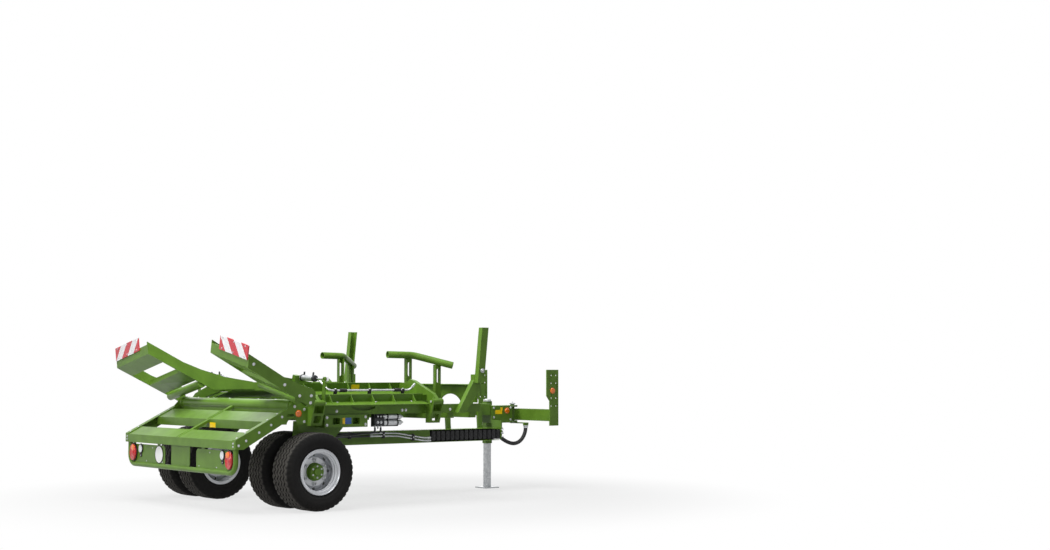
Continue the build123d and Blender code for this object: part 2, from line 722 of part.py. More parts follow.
# Guide posts: x and y of the middle, and the top under the tube
GUIDE_POSTS = ((1520, -684, 445), (1770, -866, 375))
GUIDE_POST_HALF = 35.0
GUIDE_POST_FLANGE = 40.0
GUIDE_SLOT = (150.0, 36.0)
GUIDE_SLOT_DROP = 125.0
with BuildPart(AXLE) as bale_guides:
    with BuildLine() as guide_path:
        FilletPolyline(*[(AXLE_X + x, y, DECK_TOP + rise) for x, y, rise in GUIDE_POINTS], radius=GUIDE_BEND)
    rear_end = Plane(origin=guide_path.line @ 0, z_dir=guide_path.line % 0)
    front_end = Plane(origin=guide_path.line @ 1, z_dir=-(guide_path.line % 1))
    with BuildSketch(rear_end) as guide_section:
        Circle(GUIDE_R)
    sweep(guide_section.sketch, path=guide_path.line)
    for open_end in (rear_end, front_end):
        disc(open_end, (0, 0), GUIDE_BORE_R, GUIDE_BORE_DEPTH, Mode.SUBTRACT)
    for post_x, post_y, top_rise in GUIDE_POSTS:
        post_top = DECK_TOP + top_rise
        post_ends = (post_x - GUIDE_POST_HALF, post_x + GUIDE_POST_HALF)
        block(post_ends, (post_y - SHEET / 2, post_y + SHEET / 2), (CROSS_TOP, post_top))
        for flange_x in (post_ends[0], post_ends[1] - SHEET):
            block(
                (flange_x, flange_x + SHEET),
                (post_y, post_y + GUIDE_POST_FLANGE),
                (CROSS_TOP, post_top - SHEET),
            )
        with BuildSketch(side(post_y + SHEET)) as guide_slot:
            with Locations((post_x, post_top - GUIDE_SLOT_DROP)):
                SlotOverall(*GUIDE_SLOT, rotation=90)
        extrude(guide_slot.sketch, amount=2 * SHEET, mode=Mode.SUBTRACT)
    both_sides()
write(bale_guides.part, "bale_guides")

# Hose chain tray: a channel beside the spine, closed toward the rear, on hangers
TRAY_TOP = CHAIN_BOTTOM + CHAIN_HEIGHT + TRAY_GAP
TRAY_INNER_Y = CHAIN_Y + CHAIN_WIDTH / 2 + TRAY_GAP
TRAY_OUTER_Y = CHAIN_Y - CHAIN_WIDTH / 2 - TRAY_GAP
TRAY_BOTTOM = CHAIN_BOTTOM - TRAY_GAP
TRAY_FRONT = SPINE_FRONT - 15
HANGER_LENGTH = 60.0
TRAY_HANGERS = (TRAY_REAR + 470, TRAY_FRONT - 645, TRAY_FRONT - 195)
with BuildPart(AXLE) as chain_tray:
    block((TRAY_REAR, TRAY_FRONT), (TRAY_INNER_Y, TRAY_INNER_Y + TRAY_SHEET), (TRAY_BOTTOM, TRAY_TOP))
    for sheet_z in (TRAY_BOTTOM - TRAY_SHEET, TRAY_TOP):
        block(
            (TRAY_REAR, TRAY_FRONT),
            (TRAY_OUTER_Y, TRAY_INNER_Y + TRAY_SHEET),
            (sheet_z, sheet_z + TRAY_SHEET),
        )
    block(
        (TRAY_REAR, CHAIN_REAR - 30),
        (TRAY_OUTER_Y - TRAY_SHEET, TRAY_OUTER_Y),
        (TRAY_BOTTOM - TRAY_SHEET, TRAY_TOP + TRAY_SHEET),
    )
    for hanger_x in TRAY_HANGERS:
        plate(
            cross(hanger_x),
            (
                (TRAY_INNER_Y + TRAY_SHEET, TRAY_BOTTOM),
                (TRAY_INNER_Y + TRAY_SHEET, TRAY_TOP + TRAY_SHEET),
                (-SPINE_WIDTH / 2 - 30, SPINE_TOP - 20),
                (-SPINE_WIDTH / 2, SPINE_TOP - 20),
                (-SPINE_WIDTH / 2, SPINE_Z - SPINE_HEIGHT / 2),
                (-SPINE_WIDTH / 2 - 25, TRAY_BOTTOM),
            ),
            HANGER_LENGTH,
        )
write(chain_tray.part, "chain_tray")

# Valve block under the right side beam, with two accumulators in front of it on its back plate
VALVE_REAR = 760.0
VALVE_FRONT = 880.0
VALVE_OUTER_Y = -1168.0
VALVE_BACK_Y = -SIDE_INNER_Y - PLATE
VALVE_BOTTOM = SIDE_BOTTOM - 118
BACK_PLATE_BOTTOM = SIDE_BOTTOM - 130
BOTTLE_R = 28.0
BOTTLE_LENGTH = 210.0
BOTTLE_DROPS = (90.0, 30.0)
with BuildPart(AXLE) as valve_block:
    block((VALVE_REAR, VALVE_FRONT), (VALVE_OUTER_Y, VALVE_BACK_Y), (VALVE_BOTTOM, SIDE_BOTTOM))
    block(
        (VALVE_REAR, VALVE_FRONT + BOTTLE_LENGTH),
        (VALVE_BACK_Y, -SIDE_INNER_Y),
        (BACK_PLATE_BOTTOM, SIDE_BOTTOM),
    )
write(valve_block.part, "valve_block")

with BuildPart(AXLE) as accumulators:
    for drop in BOTTLE_DROPS:
        with Locations((VALVE_FRONT + BOTTLE_LENGTH / 2, VALVE_BACK_Y - BOTTLE_R, SIDE_BOTTOM - drop)):
            Cylinder(BOTTLE_R, BOTTLE_LENGTH, rotation=(0, 90, 0))
write(accumulators.part, "accumulators")

# Wing: deck slats by v at the inner and outer edge, height of the web, and the x range
WING_FLOOR = -33.0
WING_INNER = 684.0
SLAT_A_INNER = 170.0
SLAT_B_OUTER = 300.0
SLAT_REAR = 110.0
SLAT_A_FRONT = 1375.0
ARM_REAR_FACE = FRONT_HINGE_X - ARM_THICKNESS / 2
WING_SLATS = (
    (20, SLAT_A_INNER, 52, SLAT_REAR, SLAT_A_FRONT),
    (SLAT_B_OUTER, WING_INNER, 62, SLAT_REAR, ARM_REAR_FACE),
)
STRAP_WIDTH = 60.0
GUSSETS = 5
with BuildPart(WING) as wing_deck:
    for strap_x in (300, 760, 1200):
        block(
            (strap_x, strap_x + STRAP_WIDTH),
            (SLAT_A_INNER, SLAT_B_OUTER),
            (WING_FLOOR, WING_FLOOR + SHEET),
        )
    for outer_v, inner_v, web_w, rear_x, front_x in WING_SLATS:
        block((rear_x, front_x), (outer_v, inner_v), (WING_FLOOR, WING_FLOOR + SHEET))
        block((rear_x, front_x), (inner_v - SHEET, inner_v), (WING_FLOOR + SHEET, web_w))
        for index in range(GUSSETS):
            gusset_x = rear_x + (index + 0.5) * (front_x - rear_x) / GUSSETS
            plate(
                wing_cross(gusset_x),
                (
                    (inner_v - SHEET, WING_FLOOR + SHEET),
                    (inner_v - SHEET, web_w - 6),
                    (inner_v - SHEET - 80, WING_FLOOR + SHEET),
                ),
                SHEET,
            )
write_sides(wing_deck.part, "wing_deck")

# Wing cross arms, each with a hinge lug between a bracket's cheeks
LUG_LENGTH = BRACKET_WIDTH - 2 * PLATE - 2 * HINGE_GAP
FOOT_LUG_FRONT = CYLINDER_X - 34
ARM_LOW = WING_FLOOR + SHEET
# Upper edge of the rear and of the front arm in v and w, from its inner end to its hinge
ARM_EDGES = (
    (REAR_HINGE_X, ((WING_INNER, 62), (560, 92), (480, 92), (60, 60))),
    (FRONT_HINGE_X, ((WING_INNER, 62), (560, 80), (500, 134), (430, 134), (60, 70))),
)
# Links from an arm to a deck slat: v of the inner face, x range and height
ARM_LINKS = (
    (600, REAR_HINGE_X + ARM_THICKNESS / 2, SLAT_REAR + 50, 10),
    (SLAT_A_INNER, SLAT_A_FRONT, ARM_REAR_FACE, 40),
)
with BuildPart() as wing_arms:
    for hinge_x, edge_points in ARM_EDGES:
        arm_points = ((0, ARM_LOW), (WING_INNER, ARM_LOW), *edge_points, (-15, 25))
        plate(wing_cross(hinge_x - ARM_THICKNESS / 2), arm_points, ARM_THICKNESS)
        lug_plane = wing_cross(hinge_x - LUG_LENGTH / 2)
        disc(lug_plane, (0, 0), HINGE_LUG_R, LUG_LENGTH)
        disc(lug_plane, (0, 0), HINGE_PIN_R + RUNNING_FIT, LUG_LENGTH, Mode.SUBTRACT)
    for link_v, rear_x, front_x, link_w in ARM_LINKS:
        plate(
            wing_side(link_v),
            ((rear_x, ARM_LOW), (front_x, ARM_LOW), (front_x, link_w), (rear_x, link_w)),
            SHEET,
        )
    plate(
        wing_cross(REAR_HINGE_X),
        ((470, 60), (560, 60), (535, 178), (485, 178)),
        FOOT_LUG_FRONT - REAR_HINGE_X,
    )
write_sides(wing_arms.part, "wing_arms")

# Wing ramp: two side plates, two slats, a head tube
WING_PLATE_OUTER = -49.0
WING_PLATE_INNER = WING_INNER + PLATE
BOARD_SHEET = PLATE
BOARD_REAR = -REAR_REACH
WING_TIP_X = BOARD_REAR + BOARD_SHEET
WING_TIP_LOW = 365.0
WING_TIP_HIGH = 495.0
WING_BEND_X = -230.0
WING_BEND_W = 40.0
WING_TOE_X = -120.0
WING_TOE_W = -20.0
WING_HEAD = (-240.0, 50.0)
WING_HEAD_R = 45.0
# Upper edge of both plates in x and w, from the tip to the front
WING_PLATE_EDGE = ((WING_TIP_X, WING_TIP_HIGH), (-446, 280), (-239, 198), (-100, 158))
# Plates: v of the outer face, the front end in x and w, and the rounding of its corners
WING_PLATES = (
    (WING_PLATE_OUTER, ((-60, 120), (-60, WING_TOE_W)), 60.0),
    (WING_PLATE_INNER, ((20, 120), (380, 62), (380, WING_TOE_W)), 20.0),
)
# Slats: x at the rear edge, length along x, and lip height
WING_RAMP_SLATS = ((WING_TIP_X, 165.0, 100.0), (-480.0, 170.0, 50.0))


def wing_ramp_w(x):
    """Height of the wing ramp's face at x, in the wing's own frame."""
    return WING_BEND_W + (WING_BEND_X - x) * (WING_TIP_LOW - WING_BEND_W) / (WING_BEND_X - WING_TIP_X)


with BuildPart() as wing_ramp:
    for plate_v, front_end, corner_r in WING_PLATES:
        with BuildSketch(wing_side(plate_v)) as plate_outline:
            Polygon(
                (WING_TIP_X, WING_TIP_LOW),
                *WING_PLATE_EDGE,
                *front_end,
                (WING_TOE_X, WING_TOE_W),
                (WING_BEND_X, WING_BEND_W),
                align=None,
            )
            fillet(plate_outline.vertices().sort_by(Axis.X)[-2:], corner_r)
        extrude(plate_outline.sketch, amount=PLATE)
    for rear_x, length, lip in WING_RAMP_SLATS:
        plate(
            wing_side(WING_INNER),
            (
                (rear_x, wing_ramp_w(rear_x)),
                (rear_x + length, wing_ramp_w(rear_x + length)),
                (rear_x + length, wing_ramp_w(rear_x + length) + SHEET),
                (rear_x + SHEET, wing_ramp_w(rear_x) + SHEET),
                (rear_x + SHEET, wing_ramp_w(rear_x) + lip),
                (rear_x, wing_ramp_w(rear_x) + lip),
            ),
            WING_INNER - WING_PLATE_OUTER,
        )
    disc(wing_side(WING_INNER), WING_HEAD, WING_HEAD_R, WING_INNER - WING_PLATE_OUTER)
write_sides(wing_ramp.part, "wing_ramp")

# Striped board at the ramp's tip
BOARD_WIDTH = 566.0
BOARD_HEIGHT = 141.0
BOARD_MIDDLE = (233.0, 506.5)
with BuildPart() as warning_board:
    with BuildSketch(wing_cross(BOARD_REAR)):
        with Locations(BOARD_MIDDLE):
            Rectangle(BOARD_WIDTH, BOARD_HEIGHT)
    extrude(amount=BOARD_SHEET)
write_sides(warning_board.part, "warning_board")

# Fold cylinder: the barrel's foot on the rear arm, the rod's eye beside the bracket's ear
FOOT_V = 510.0
FOOT_W = 152.0
BARREL_R = 30.0
EYE_THICK = 24.0
PIN_HEAD = 2.0
FOOT_POINT = WING.from_local_coords((CYLINDER_X, FOOT_V, FOOT_W))
EYE_POINT = WING.from_local_coords((CYLINDER_X, EYE_V, EYE_W))
STROKE = (EYE_POINT - FOOT_POINT).normalized()
STROKE_LENGTH = (EYE_POINT - FOOT_POINT).length
BARREL_SPAN = (26.0, 268.0)
with BuildPart() as fold_barrel:
    with BuildSketch(Plane(origin=FOOT_POINT + STROKE * BARREL_SPAN[0], z_dir=STROKE)):
        Circle(BARREL_R)
    extrude(amount=BARREL_SPAN[1] - BARREL_SPAN[0])
    disc(wing_cross(CYLINDER_X - EYE_THICK / 2), (FOOT_V, FOOT_W), 27, EYE_THICK)
    disc(wing_cross(FOOT_LUG_FRONT), (FOOT_V, FOOT_W), 12, CYLINDER_X - FOOT_LUG_FRONT)
write_sides(fold_barrel.part, "fold_barrel")

with BuildPart() as fold_rod:
    with BuildSketch(Plane(origin=FOOT_POINT + STROKE * BARREL_SPAN[1], z_dir=STROKE)):
        Circle(ROD_R)
    extrude(amount=STROKE_LENGTH - BARREL_SPAN[1] - EYE_PIN_R - 4)
    disc(wing_cross(CYLINDER_X - EYE_THICK / 2), (EYE_V, EYE_W), EAR_R, EYE_THICK)
    disc(wing_cross(CYLINDER_X - ROD_R), (EYE_V, EYE_W), EYE_PIN_R, EYE_THICK + 2 * PIN_HEAD)
write_sides(fold_rod.part, "fold_rod")

# Hydraulic pipe along the wing, on two clips
PIPE_V = 235.0
PIPE_W = 20.0
PIPE_R = 11.0
with BuildPart(WING) as wing_pipe:
    with Locations((760, PIPE_V, PIPE_W)):
        Cylinder(PIPE_R, 900, rotation=(0, 90, 0))
    for clip_x in (350, 760, 1170):
        block((clip_x - 15, clip_x + 15), (170, PIPE_V + 16), (PIPE_W - 16, PIPE_W + 16))
write_sides(wing_pipe.part, "wing_pipe")

# Drawbar: inner tube, forked head with the hitch pin, chain bracket and hose bracket, jack sleeve
TUBE_REAR = SPINE_REAR + 700
INNER_WIDTH = SPINE_WIDTH - 2 * SPINE_WALL - 2 * SLIDE_GAP
INNER_HEIGHT = SPINE_HEIGHT - 2 * SPINE_WALL - 2 * SLIDE_GAP
CHEEK_FRONT = PIVOT_X - 90
FORK_NOSE_R = 60.0
HOSE_END = (HEAD_REAR + 430, -200, FORK_BOTTOM - 32)
HOSE_SOCKET_R = 32.0
CHAIN_BRACKET_TOP = FORK_BOTTOM + 35
with BuildPart(AXLE) as drawbar:
    with BuildSketch(cross(TUBE_REAR)) as tube_section:
        with Locations((0, SPINE_Z)):
            Rectangle(INNER_WIDTH, INNER_HEIGHT)
            Rectangle(INNER_WIDTH - 2 * PLATE, INNER_HEIGHT - 2 * PLATE, mode=Mode.SUBTRACT)
    extrude(tube_section.sketch, amount=HEAD_REAR - TUBE_REAR)
    block((HEAD_REAR, HEAD_REAR + 20), (-FORK_WIDTH / 2, FORK_WIDTH / 2), (FORK_BOTTOM, FORK_TOP))
    for cheek_y in (-FORK_WIDTH / 2, FORK_WIDTH / 2 - PLATE):
        block((HEAD_REAR, CHEEK_FRONT), (cheek_y, cheek_y + PLATE), (FORK_BOTTOM, FORK_TOP))
    for plate_z in (FORK_BOTTOM, FORK_TOP - FORK_PLATE):
        with BuildSketch(level(plate_z)) as fork:
            Polygon(
                (HEAD_REAR, -FORK_WIDTH / 2),
                (CHEEK_FRONT, -FORK_WIDTH / 2),
                (PIVOT_X, -FORK_NOSE_R),
                (PIVOT_X, FORK_NOSE_R),
                (CHEEK_FRONT, FORK_WIDTH / 2),
                (HEAD_REAR, FORK_WIDTH / 2),
                align=None,
            )
            with Locations((PIVOT_X, 0)):
                Circle(FORK_NOSE_R)
        extrude(fork.sketch, amount=FORK_PLATE)
    disc(level(FORK_BOTTOM - PLATE), (PIVOT_X, 0), PIVOT_R, FORK_TOP - FORK_BOTTOM + 2 * PLATE)
    block(
        (CHAIN_FRONT, HEAD_REAR + PLATE),
        (TRAY_OUTER_Y, -FORK_WIDTH / 2),
        (CHAIN_BOTTOM, CHAIN_BRACKET_TOP),
    )
    block((HOSE_END[0] - 35, HOSE_END[0] + 15), (HOSE_END[1] - 35, -20), (FORK_BOTTOM - PLATE, FORK_BOTTOM))
    disc(level(HOSE_END[2]), HOSE_END[:2], HOSE_SOCKET_R, FORK_BOTTOM - PLATE - HOSE_END[2])
    block(
        (JACK_X - JACK_TUBE / 2, JACK_X + JACK_TUBE / 2),
        (JACK_Y - JACK_TUBE / 2, JACK_Y + JACK_TUBE / 2),
        (JACK_SLEEVE_BOTTOM, JACK_TOP),
    )
    block((JACK_X - 30, JACK_X + 30), (FORK_WIDTH / 2 - 1, JACK_Y), (FORK_BOTTOM + 20, FORK_TOP - 20))
    with BuildSketch(level(JACK_SLEEVE_BOTTOM)) as sleeve_bore:
        with Locations((JACK_X, JACK_Y)):
            Rectangle(JACK_LEG + 2 * SLIDE_GAP, JACK_LEG + 2 * SLIDE_GAP)
    extrude(sleeve_bore.sketch, amount=JACK_TOP - 10 - JACK_SLEEVE_BOTTOM, mode=Mode.SUBTRACT)
write(drawbar.part, "drawbar")

# Hose chain: links with side plates wider than the webs between them
with BuildPart(AXLE) as hose_chain:
    block(
        (CHAIN_REAR, CHAIN_FRONT),
        (CHAIN_Y - CHAIN_WIDTH / 2 + 10, CHAIN_Y + CHAIN_WIDTH / 2 - 10),
        (CHAIN_BOTTOM + 12, CHAIN_BOTTOM + CHAIN_HEIGHT - 12),
    )
    for link in range(CHAIN_LINKS):
        link_x = CHAIN_REAR + link * CHAIN_PITCH
        block(
            (link_x + 6, link_x + CHAIN_PITCH - 6),
            (CHAIN_Y - CHAIN_WIDTH / 2, CHAIN_Y + CHAIN_WIDTH / 2),
            (CHAIN_BOTTOM, CHAIN_BOTTOM + CHAIN_HEIGHT),
        )
write(hose_chain.part, "hose_chain")

# Hose loop from the chain's bracket to the head: x from the head's rear, y, and drop from the fork
HOSE_R = 22.0
HOSE_BEND_SHARE = 0.45
HOSE_ROUTE = (
    (PLATE, -215, 143),
    (80, -215, 187),
    (152, -216, 222),
    (228, -217, 241),
    (304, -216, 229),
    (366, -212, 189),
    (407, -206, 135),
    (428, -201, 82),
    (430, -200, 32),
)
hose_points = [Vector(AXLE_X + HEAD_REAR + x, y, FORK_BOTTOM - drop) for x, y, drop in HOSE_ROUTE]
hose_radii = []
for before, corner, after in zip(hose_points, hose_points[1:], hose_points[2:]):
    turn = radians((corner - before).get_angle(after - corner))
    shorter = min((corner - before).length, (after - corner).length)
    hose_radii.append(HOSE_BEND_SHARE * shorter / tan(turn / 2))
print("hose radii", [round(radius) for radius in hose_radii])
with BuildPart() as supply_hose:
    with BuildLine() as hose_path:
        FilletPolyline(*hose_points, radius=hose_radii)
    with BuildSketch(Plane(origin=hose_path.line @ 0, z_dir=hose_path.line % 0)):
        Circle(HOSE_R)
    sweep(path=hose_path.line)
print("hose length", round(hose_path.wire().length))
write(supply_hose.part, "supply_hose")

# Hitch crosshead: lug on the pin, cross beam and two plates with rows of holes
BEAM_FRONT = FRONT_REACH - 15
BEAM_REAR = BEAM_FRONT - 85
LUG_R = 55.0
HOLE_R = 9.0
HOLE_SPACING_X = 70.0
HOLE_SPACING_Z = 90.0
HITCH_HOLE_ROWS = (BEAM_TOP + 85, BEAM_TOP + 345)
HITCH_HOLE_X = FRONT_REACH - 70
HITCH_BOTTOM = BEAM_BOTTOM - 50
HITCH_TOP = BEAM_TOP + 455
HITCH_NARROW = FRONT_REACH - 130
HITCH_WIDE = FRONT_REACH - 175
HITCH_STEP = (BEAM_TOP + 95, BEAM_TOP + 155)
with BuildPart(AXLE) as crosshead:
    block((BEAM_REAR, BEAM_FRONT), (-HITCH_Y, HITCH_Y), (BEAM_BOTTOM, BEAM_TOP))
    with BuildSketch(level(BEAM_BOTTOM)) as lug:
        with Locations(((PIVOT_X + BEAM_REAR) / 2, 0)):
            Rectangle(BEAM_REAR - PIVOT_X, 2 * LUG_R)
        with Locations((PIVOT_X, 0)):
            Circle(LUG_R)
            Circle(PIVOT_R + RUNNING_FIT, mode=Mode.SUBTRACT)
    extrude(lug.sketch, amount=BEAM_TOP - BEAM_BOTTOM)
    with BuildSketch(side(-HITCH_Y)) as hitch_plate:
        Polygon(
            (HITCH_NARROW, HITCH_BOTTOM),
            (FRONT_REACH, HITCH_BOTTOM),
            (FRONT_REACH, HITCH_TOP),
            (HITCH_WIDE, HITCH_TOP),
            (HITCH_WIDE, HITCH_STEP[1]),
            (HITCH_NARROW, HITCH_STEP[0]),
            align=None,
        )
        for row_z in HITCH_HOLE_ROWS:
            with Locations((HITCH_HOLE_X, row_z)):
                with GridLocations(HOLE_SPACING_X, HOLE_SPACING_Z, 2, 2):
                    Circle(HOLE_R, mode=Mode.SUBTRACT)
    extrude(hitch_plate.sketch, amount=HITCH_PLATE)
    both_sides()
write(crosshead.part, "crosshead")

# Jack leg and foot
LEG_OVERLAP = 130.0
FOOT_SIZE = 200.0
with BuildPart(AXLE) as jack_leg:
    block(
        (JACK_X - JACK_LEG / 2, JACK_X + JACK_LEG / 2),
        (JACK_Y - JACK_LEG / 2, JACK_Y + JACK_LEG / 2),
        (FOOT_PLATE, JACK_SLEEVE_BOTTOM + LEG_OVERLAP),
    )
    with Locations((JACK_X, JACK_Y, FOOT_PLATE / 2)):
        Box(FOOT_SIZE, FOOT_SIZE, FOOT_PLATE)
write(jack_leg.part, "jack_leg")
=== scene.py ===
"""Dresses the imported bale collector: finishes, tyres, lamps, hydraulics, hardware and a plain studio."""

from __future__ import annotations

import json
import logging
import math
from dataclasses import dataclass, field
from enum import Enum
from typing import Iterable, Sequence

import bmesh
import bpy
from mathutils import Matrix, Vector

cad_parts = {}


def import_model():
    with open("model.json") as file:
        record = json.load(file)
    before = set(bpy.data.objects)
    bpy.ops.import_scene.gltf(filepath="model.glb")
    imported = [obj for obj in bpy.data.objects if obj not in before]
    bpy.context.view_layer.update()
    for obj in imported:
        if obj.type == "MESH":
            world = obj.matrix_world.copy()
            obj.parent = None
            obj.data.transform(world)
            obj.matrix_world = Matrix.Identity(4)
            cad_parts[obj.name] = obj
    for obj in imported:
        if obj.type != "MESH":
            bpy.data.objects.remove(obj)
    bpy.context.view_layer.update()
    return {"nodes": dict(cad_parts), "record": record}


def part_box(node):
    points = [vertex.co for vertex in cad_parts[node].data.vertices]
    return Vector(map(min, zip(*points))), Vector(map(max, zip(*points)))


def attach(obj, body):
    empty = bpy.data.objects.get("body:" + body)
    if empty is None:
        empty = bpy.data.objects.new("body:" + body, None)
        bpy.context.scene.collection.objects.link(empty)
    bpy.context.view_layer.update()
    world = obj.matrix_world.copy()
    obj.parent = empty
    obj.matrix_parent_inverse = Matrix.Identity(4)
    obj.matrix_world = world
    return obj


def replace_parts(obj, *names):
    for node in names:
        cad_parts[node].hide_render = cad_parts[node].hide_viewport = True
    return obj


LOG = logging.getLogger("bale_collector")
Colour = tuple[float, float, float]
Point = tuple[float, float, float]
Profile = Sequence[tuple[float, float]]
Feed = dict[str | int, object]
Socket = bpy.types.NodeSocket

# Places that part.py shares, in metres, with every x measured from the axle
HINGE_Y = 1.290
HINGE_Z = 1.050
HINGE_PLACES = (0.020, 1.450)
FOLD_SLOPE = math.radians(11.35)
SIDE_PLATE_Y = 1.192
BEAM_Y = 1.180
UP = Vector((0, 0, 1))
REARWARD = Vector((-1, 0, 0))
FORWARD = Vector((1, 0, 0))
LEFTWARD = Vector((0, 1, 0))

# What all finishes share, in metres and in waves per metre
COAT_ROUGHNESS = 0.12
RELIEF_DEPTH = 0.002
GLOSS_WAVES = 14.0
GLOSS_SPREAD = (-0.07, 0.09)
DUST_WAVES = 23.0
DUST_TOP = 1.1
DUST_COLOUR = (148, 132, 104)

# Profiles in shares of a size: distance along the axis and radius of each ring
WASHER = ((0, 0), (0, 1.05), (0.14, 1.05), (0.16, 0.9), (0.16, 0))
BOLT_HEAD = ((0.16, 0.86), (0.62, 0.86), (0.74, 0.7), (0.78, 0.0))
BUTTON = ((0, 0), (0, 1), (0.12, 1), (0.3, 0.86), (0.42, 0.6), (0.48, 0.3), (0.5, 0))
FITTING_NUT = ((0, 0), (0, 0.9), (0.15, 1), (0.95, 1), (1.1, 0.9), (1.1, 0))
FITTING_SLEEVE = ((1.0, 0.7), (1.6, 0.7), (2.6, 0.8), (2.75, 0.72), (2.9, 0.8), (3.1, 0.72))
FITTING_SLEEVE += ((3.3, 0.8), (3.5, 0.7), (3.5, 0))

# Sizes of the round reflectors and the blank patches, in metres
REFLECTOR = ((0, 0), (0, 0.034), (0.005, 0.034), (0.006, 0.030), (0.010, 0.027), (0.0115, 0.014), (0.012, 0))
PATCH_THICK = 0.0012
PATCH_CORNER = 0.003

# Share of the half width and radius of the points of a tyre's wall, with two raised rings
TYRE_WALL = ((0.735, 0.206), (0.78, 0.222), (0.8, 0.222), (0.86, 0.244), (0.9, 0.258), (0.925, 0.26))
TYRE_WALL += ((0.955, 0.28), (0.985, 0.292), (0.998, 0.306), (0.995, 0.322), (0.975, 0.338))


class Side(Enum):
    """Side of the machine, with the sign of its y."""

    RIGHT = -1
    LEFT = 1

    @property
    def label(self) -> str:
        """Ending of the names of this side's nodes, bodies and pieces."""
        return self.name.lower()

    @property
    def outward(self) -> Vector:
        """Direction away from the middle of the machine."""
        return Vector((0, self.value, 0))


class Surface(Enum):
    """Fine relief of a finish, with its waves per metre."""

    ORANGE_PEEL = 260.0
    GRAIN = 420.0
    BRUSHED = 300.0
    RIBBED = 60.0


# Finishes


def linear(red: int, green: int, blue: int) -> Colour:
    """Turn a display colour into a linear one.

    Args:
        red: Red from 0 to 255.
        green: Green from 0 to 255.
        blue: Blue from 0 to 255.

    Returns:
        The linear colour.
    """

    def channel(value: int) -> float:
        """One channel by the sRGB curve."""
        share = value / 255
        return share / 12.92 if share <= 0.04045 else ((share + 0.055) / 1.055) ** 2.4

    return channel(red), channel(green), channel(blue)


@dataclass
class Graph:
    """Node tree of a material or the world, with short ways to grow it.

    Attributes:
        tree: The node tree.
    """

    tree: bpy.types.NodeTree

    def feed(self, node: bpy.types.Node, inputs: Feed) -> None:
        """Link or set inputs of a node.

        Args:
            node: Node of the tree.
            inputs: Socket or constant of each input, by its name or number.
        """
        for key, value in inputs.items():
            if isinstance(value, Socket):
                self.tree.links.new(value, node.inputs[key])
            else:
                node.inputs[key].default_value = value

    def add(self, kind: str, output: str, inputs: Feed, operation: str = "") -> Socket:
        """Add a node.

        Args:
            kind: Type of the node, without its prefix.
            output: Name of the output to give back.
            inputs: Sockets and constants, as for feed.
            operation: Operation of a math node.

        Returns:
            The output socket.
        """
        node = self.tree.nodes.new(f"ShaderNode{kind}")
        if operation:
            node.operation = operation
        self.feed(node, inputs)
        return node.outputs[output]

    def math(self, operation: str, first: Socket, second: Socket | float = 0.5) -> Socket:
        """Socket of an operation on one or two values."""
        return self.add("Math", "Value", {0: first, 1: second}, operation)

    def noise(self, place: Socket, scale: float, detail: float = 4.0) -> Socket:
        """Socket of a noise with so many waves per metre and octaves."""
        return self.add("TexNoise", "Fac", {"Vector": place, "Scale": scale, "Detail": detail})

    def ramp(self, share: Socket, stops: Sequence[tuple[float, Colour]]) -> Socket:
        """Add a colour ramp.

        Args:
            share: Socket of the place on the ramp.
            stops: Place and linear colour of each stop, from first to last.

        Returns:
            Socket of the colour.
        """
        node = self.tree.nodes.new("ShaderNodeValToRGB")
        elements = node.color_ramp.elements
        for index, (spot, shade) in enumerate((stops[0], stops[-1])):
            elements[index].position = spot
            elements[index].color = (*shade, 1)
        for spot, shade in stops[1:-1]:
            elements.new(spot).color = (*shade, 1)
        self.feed(node, {"Fac": share})
        return node.outputs["Color"]


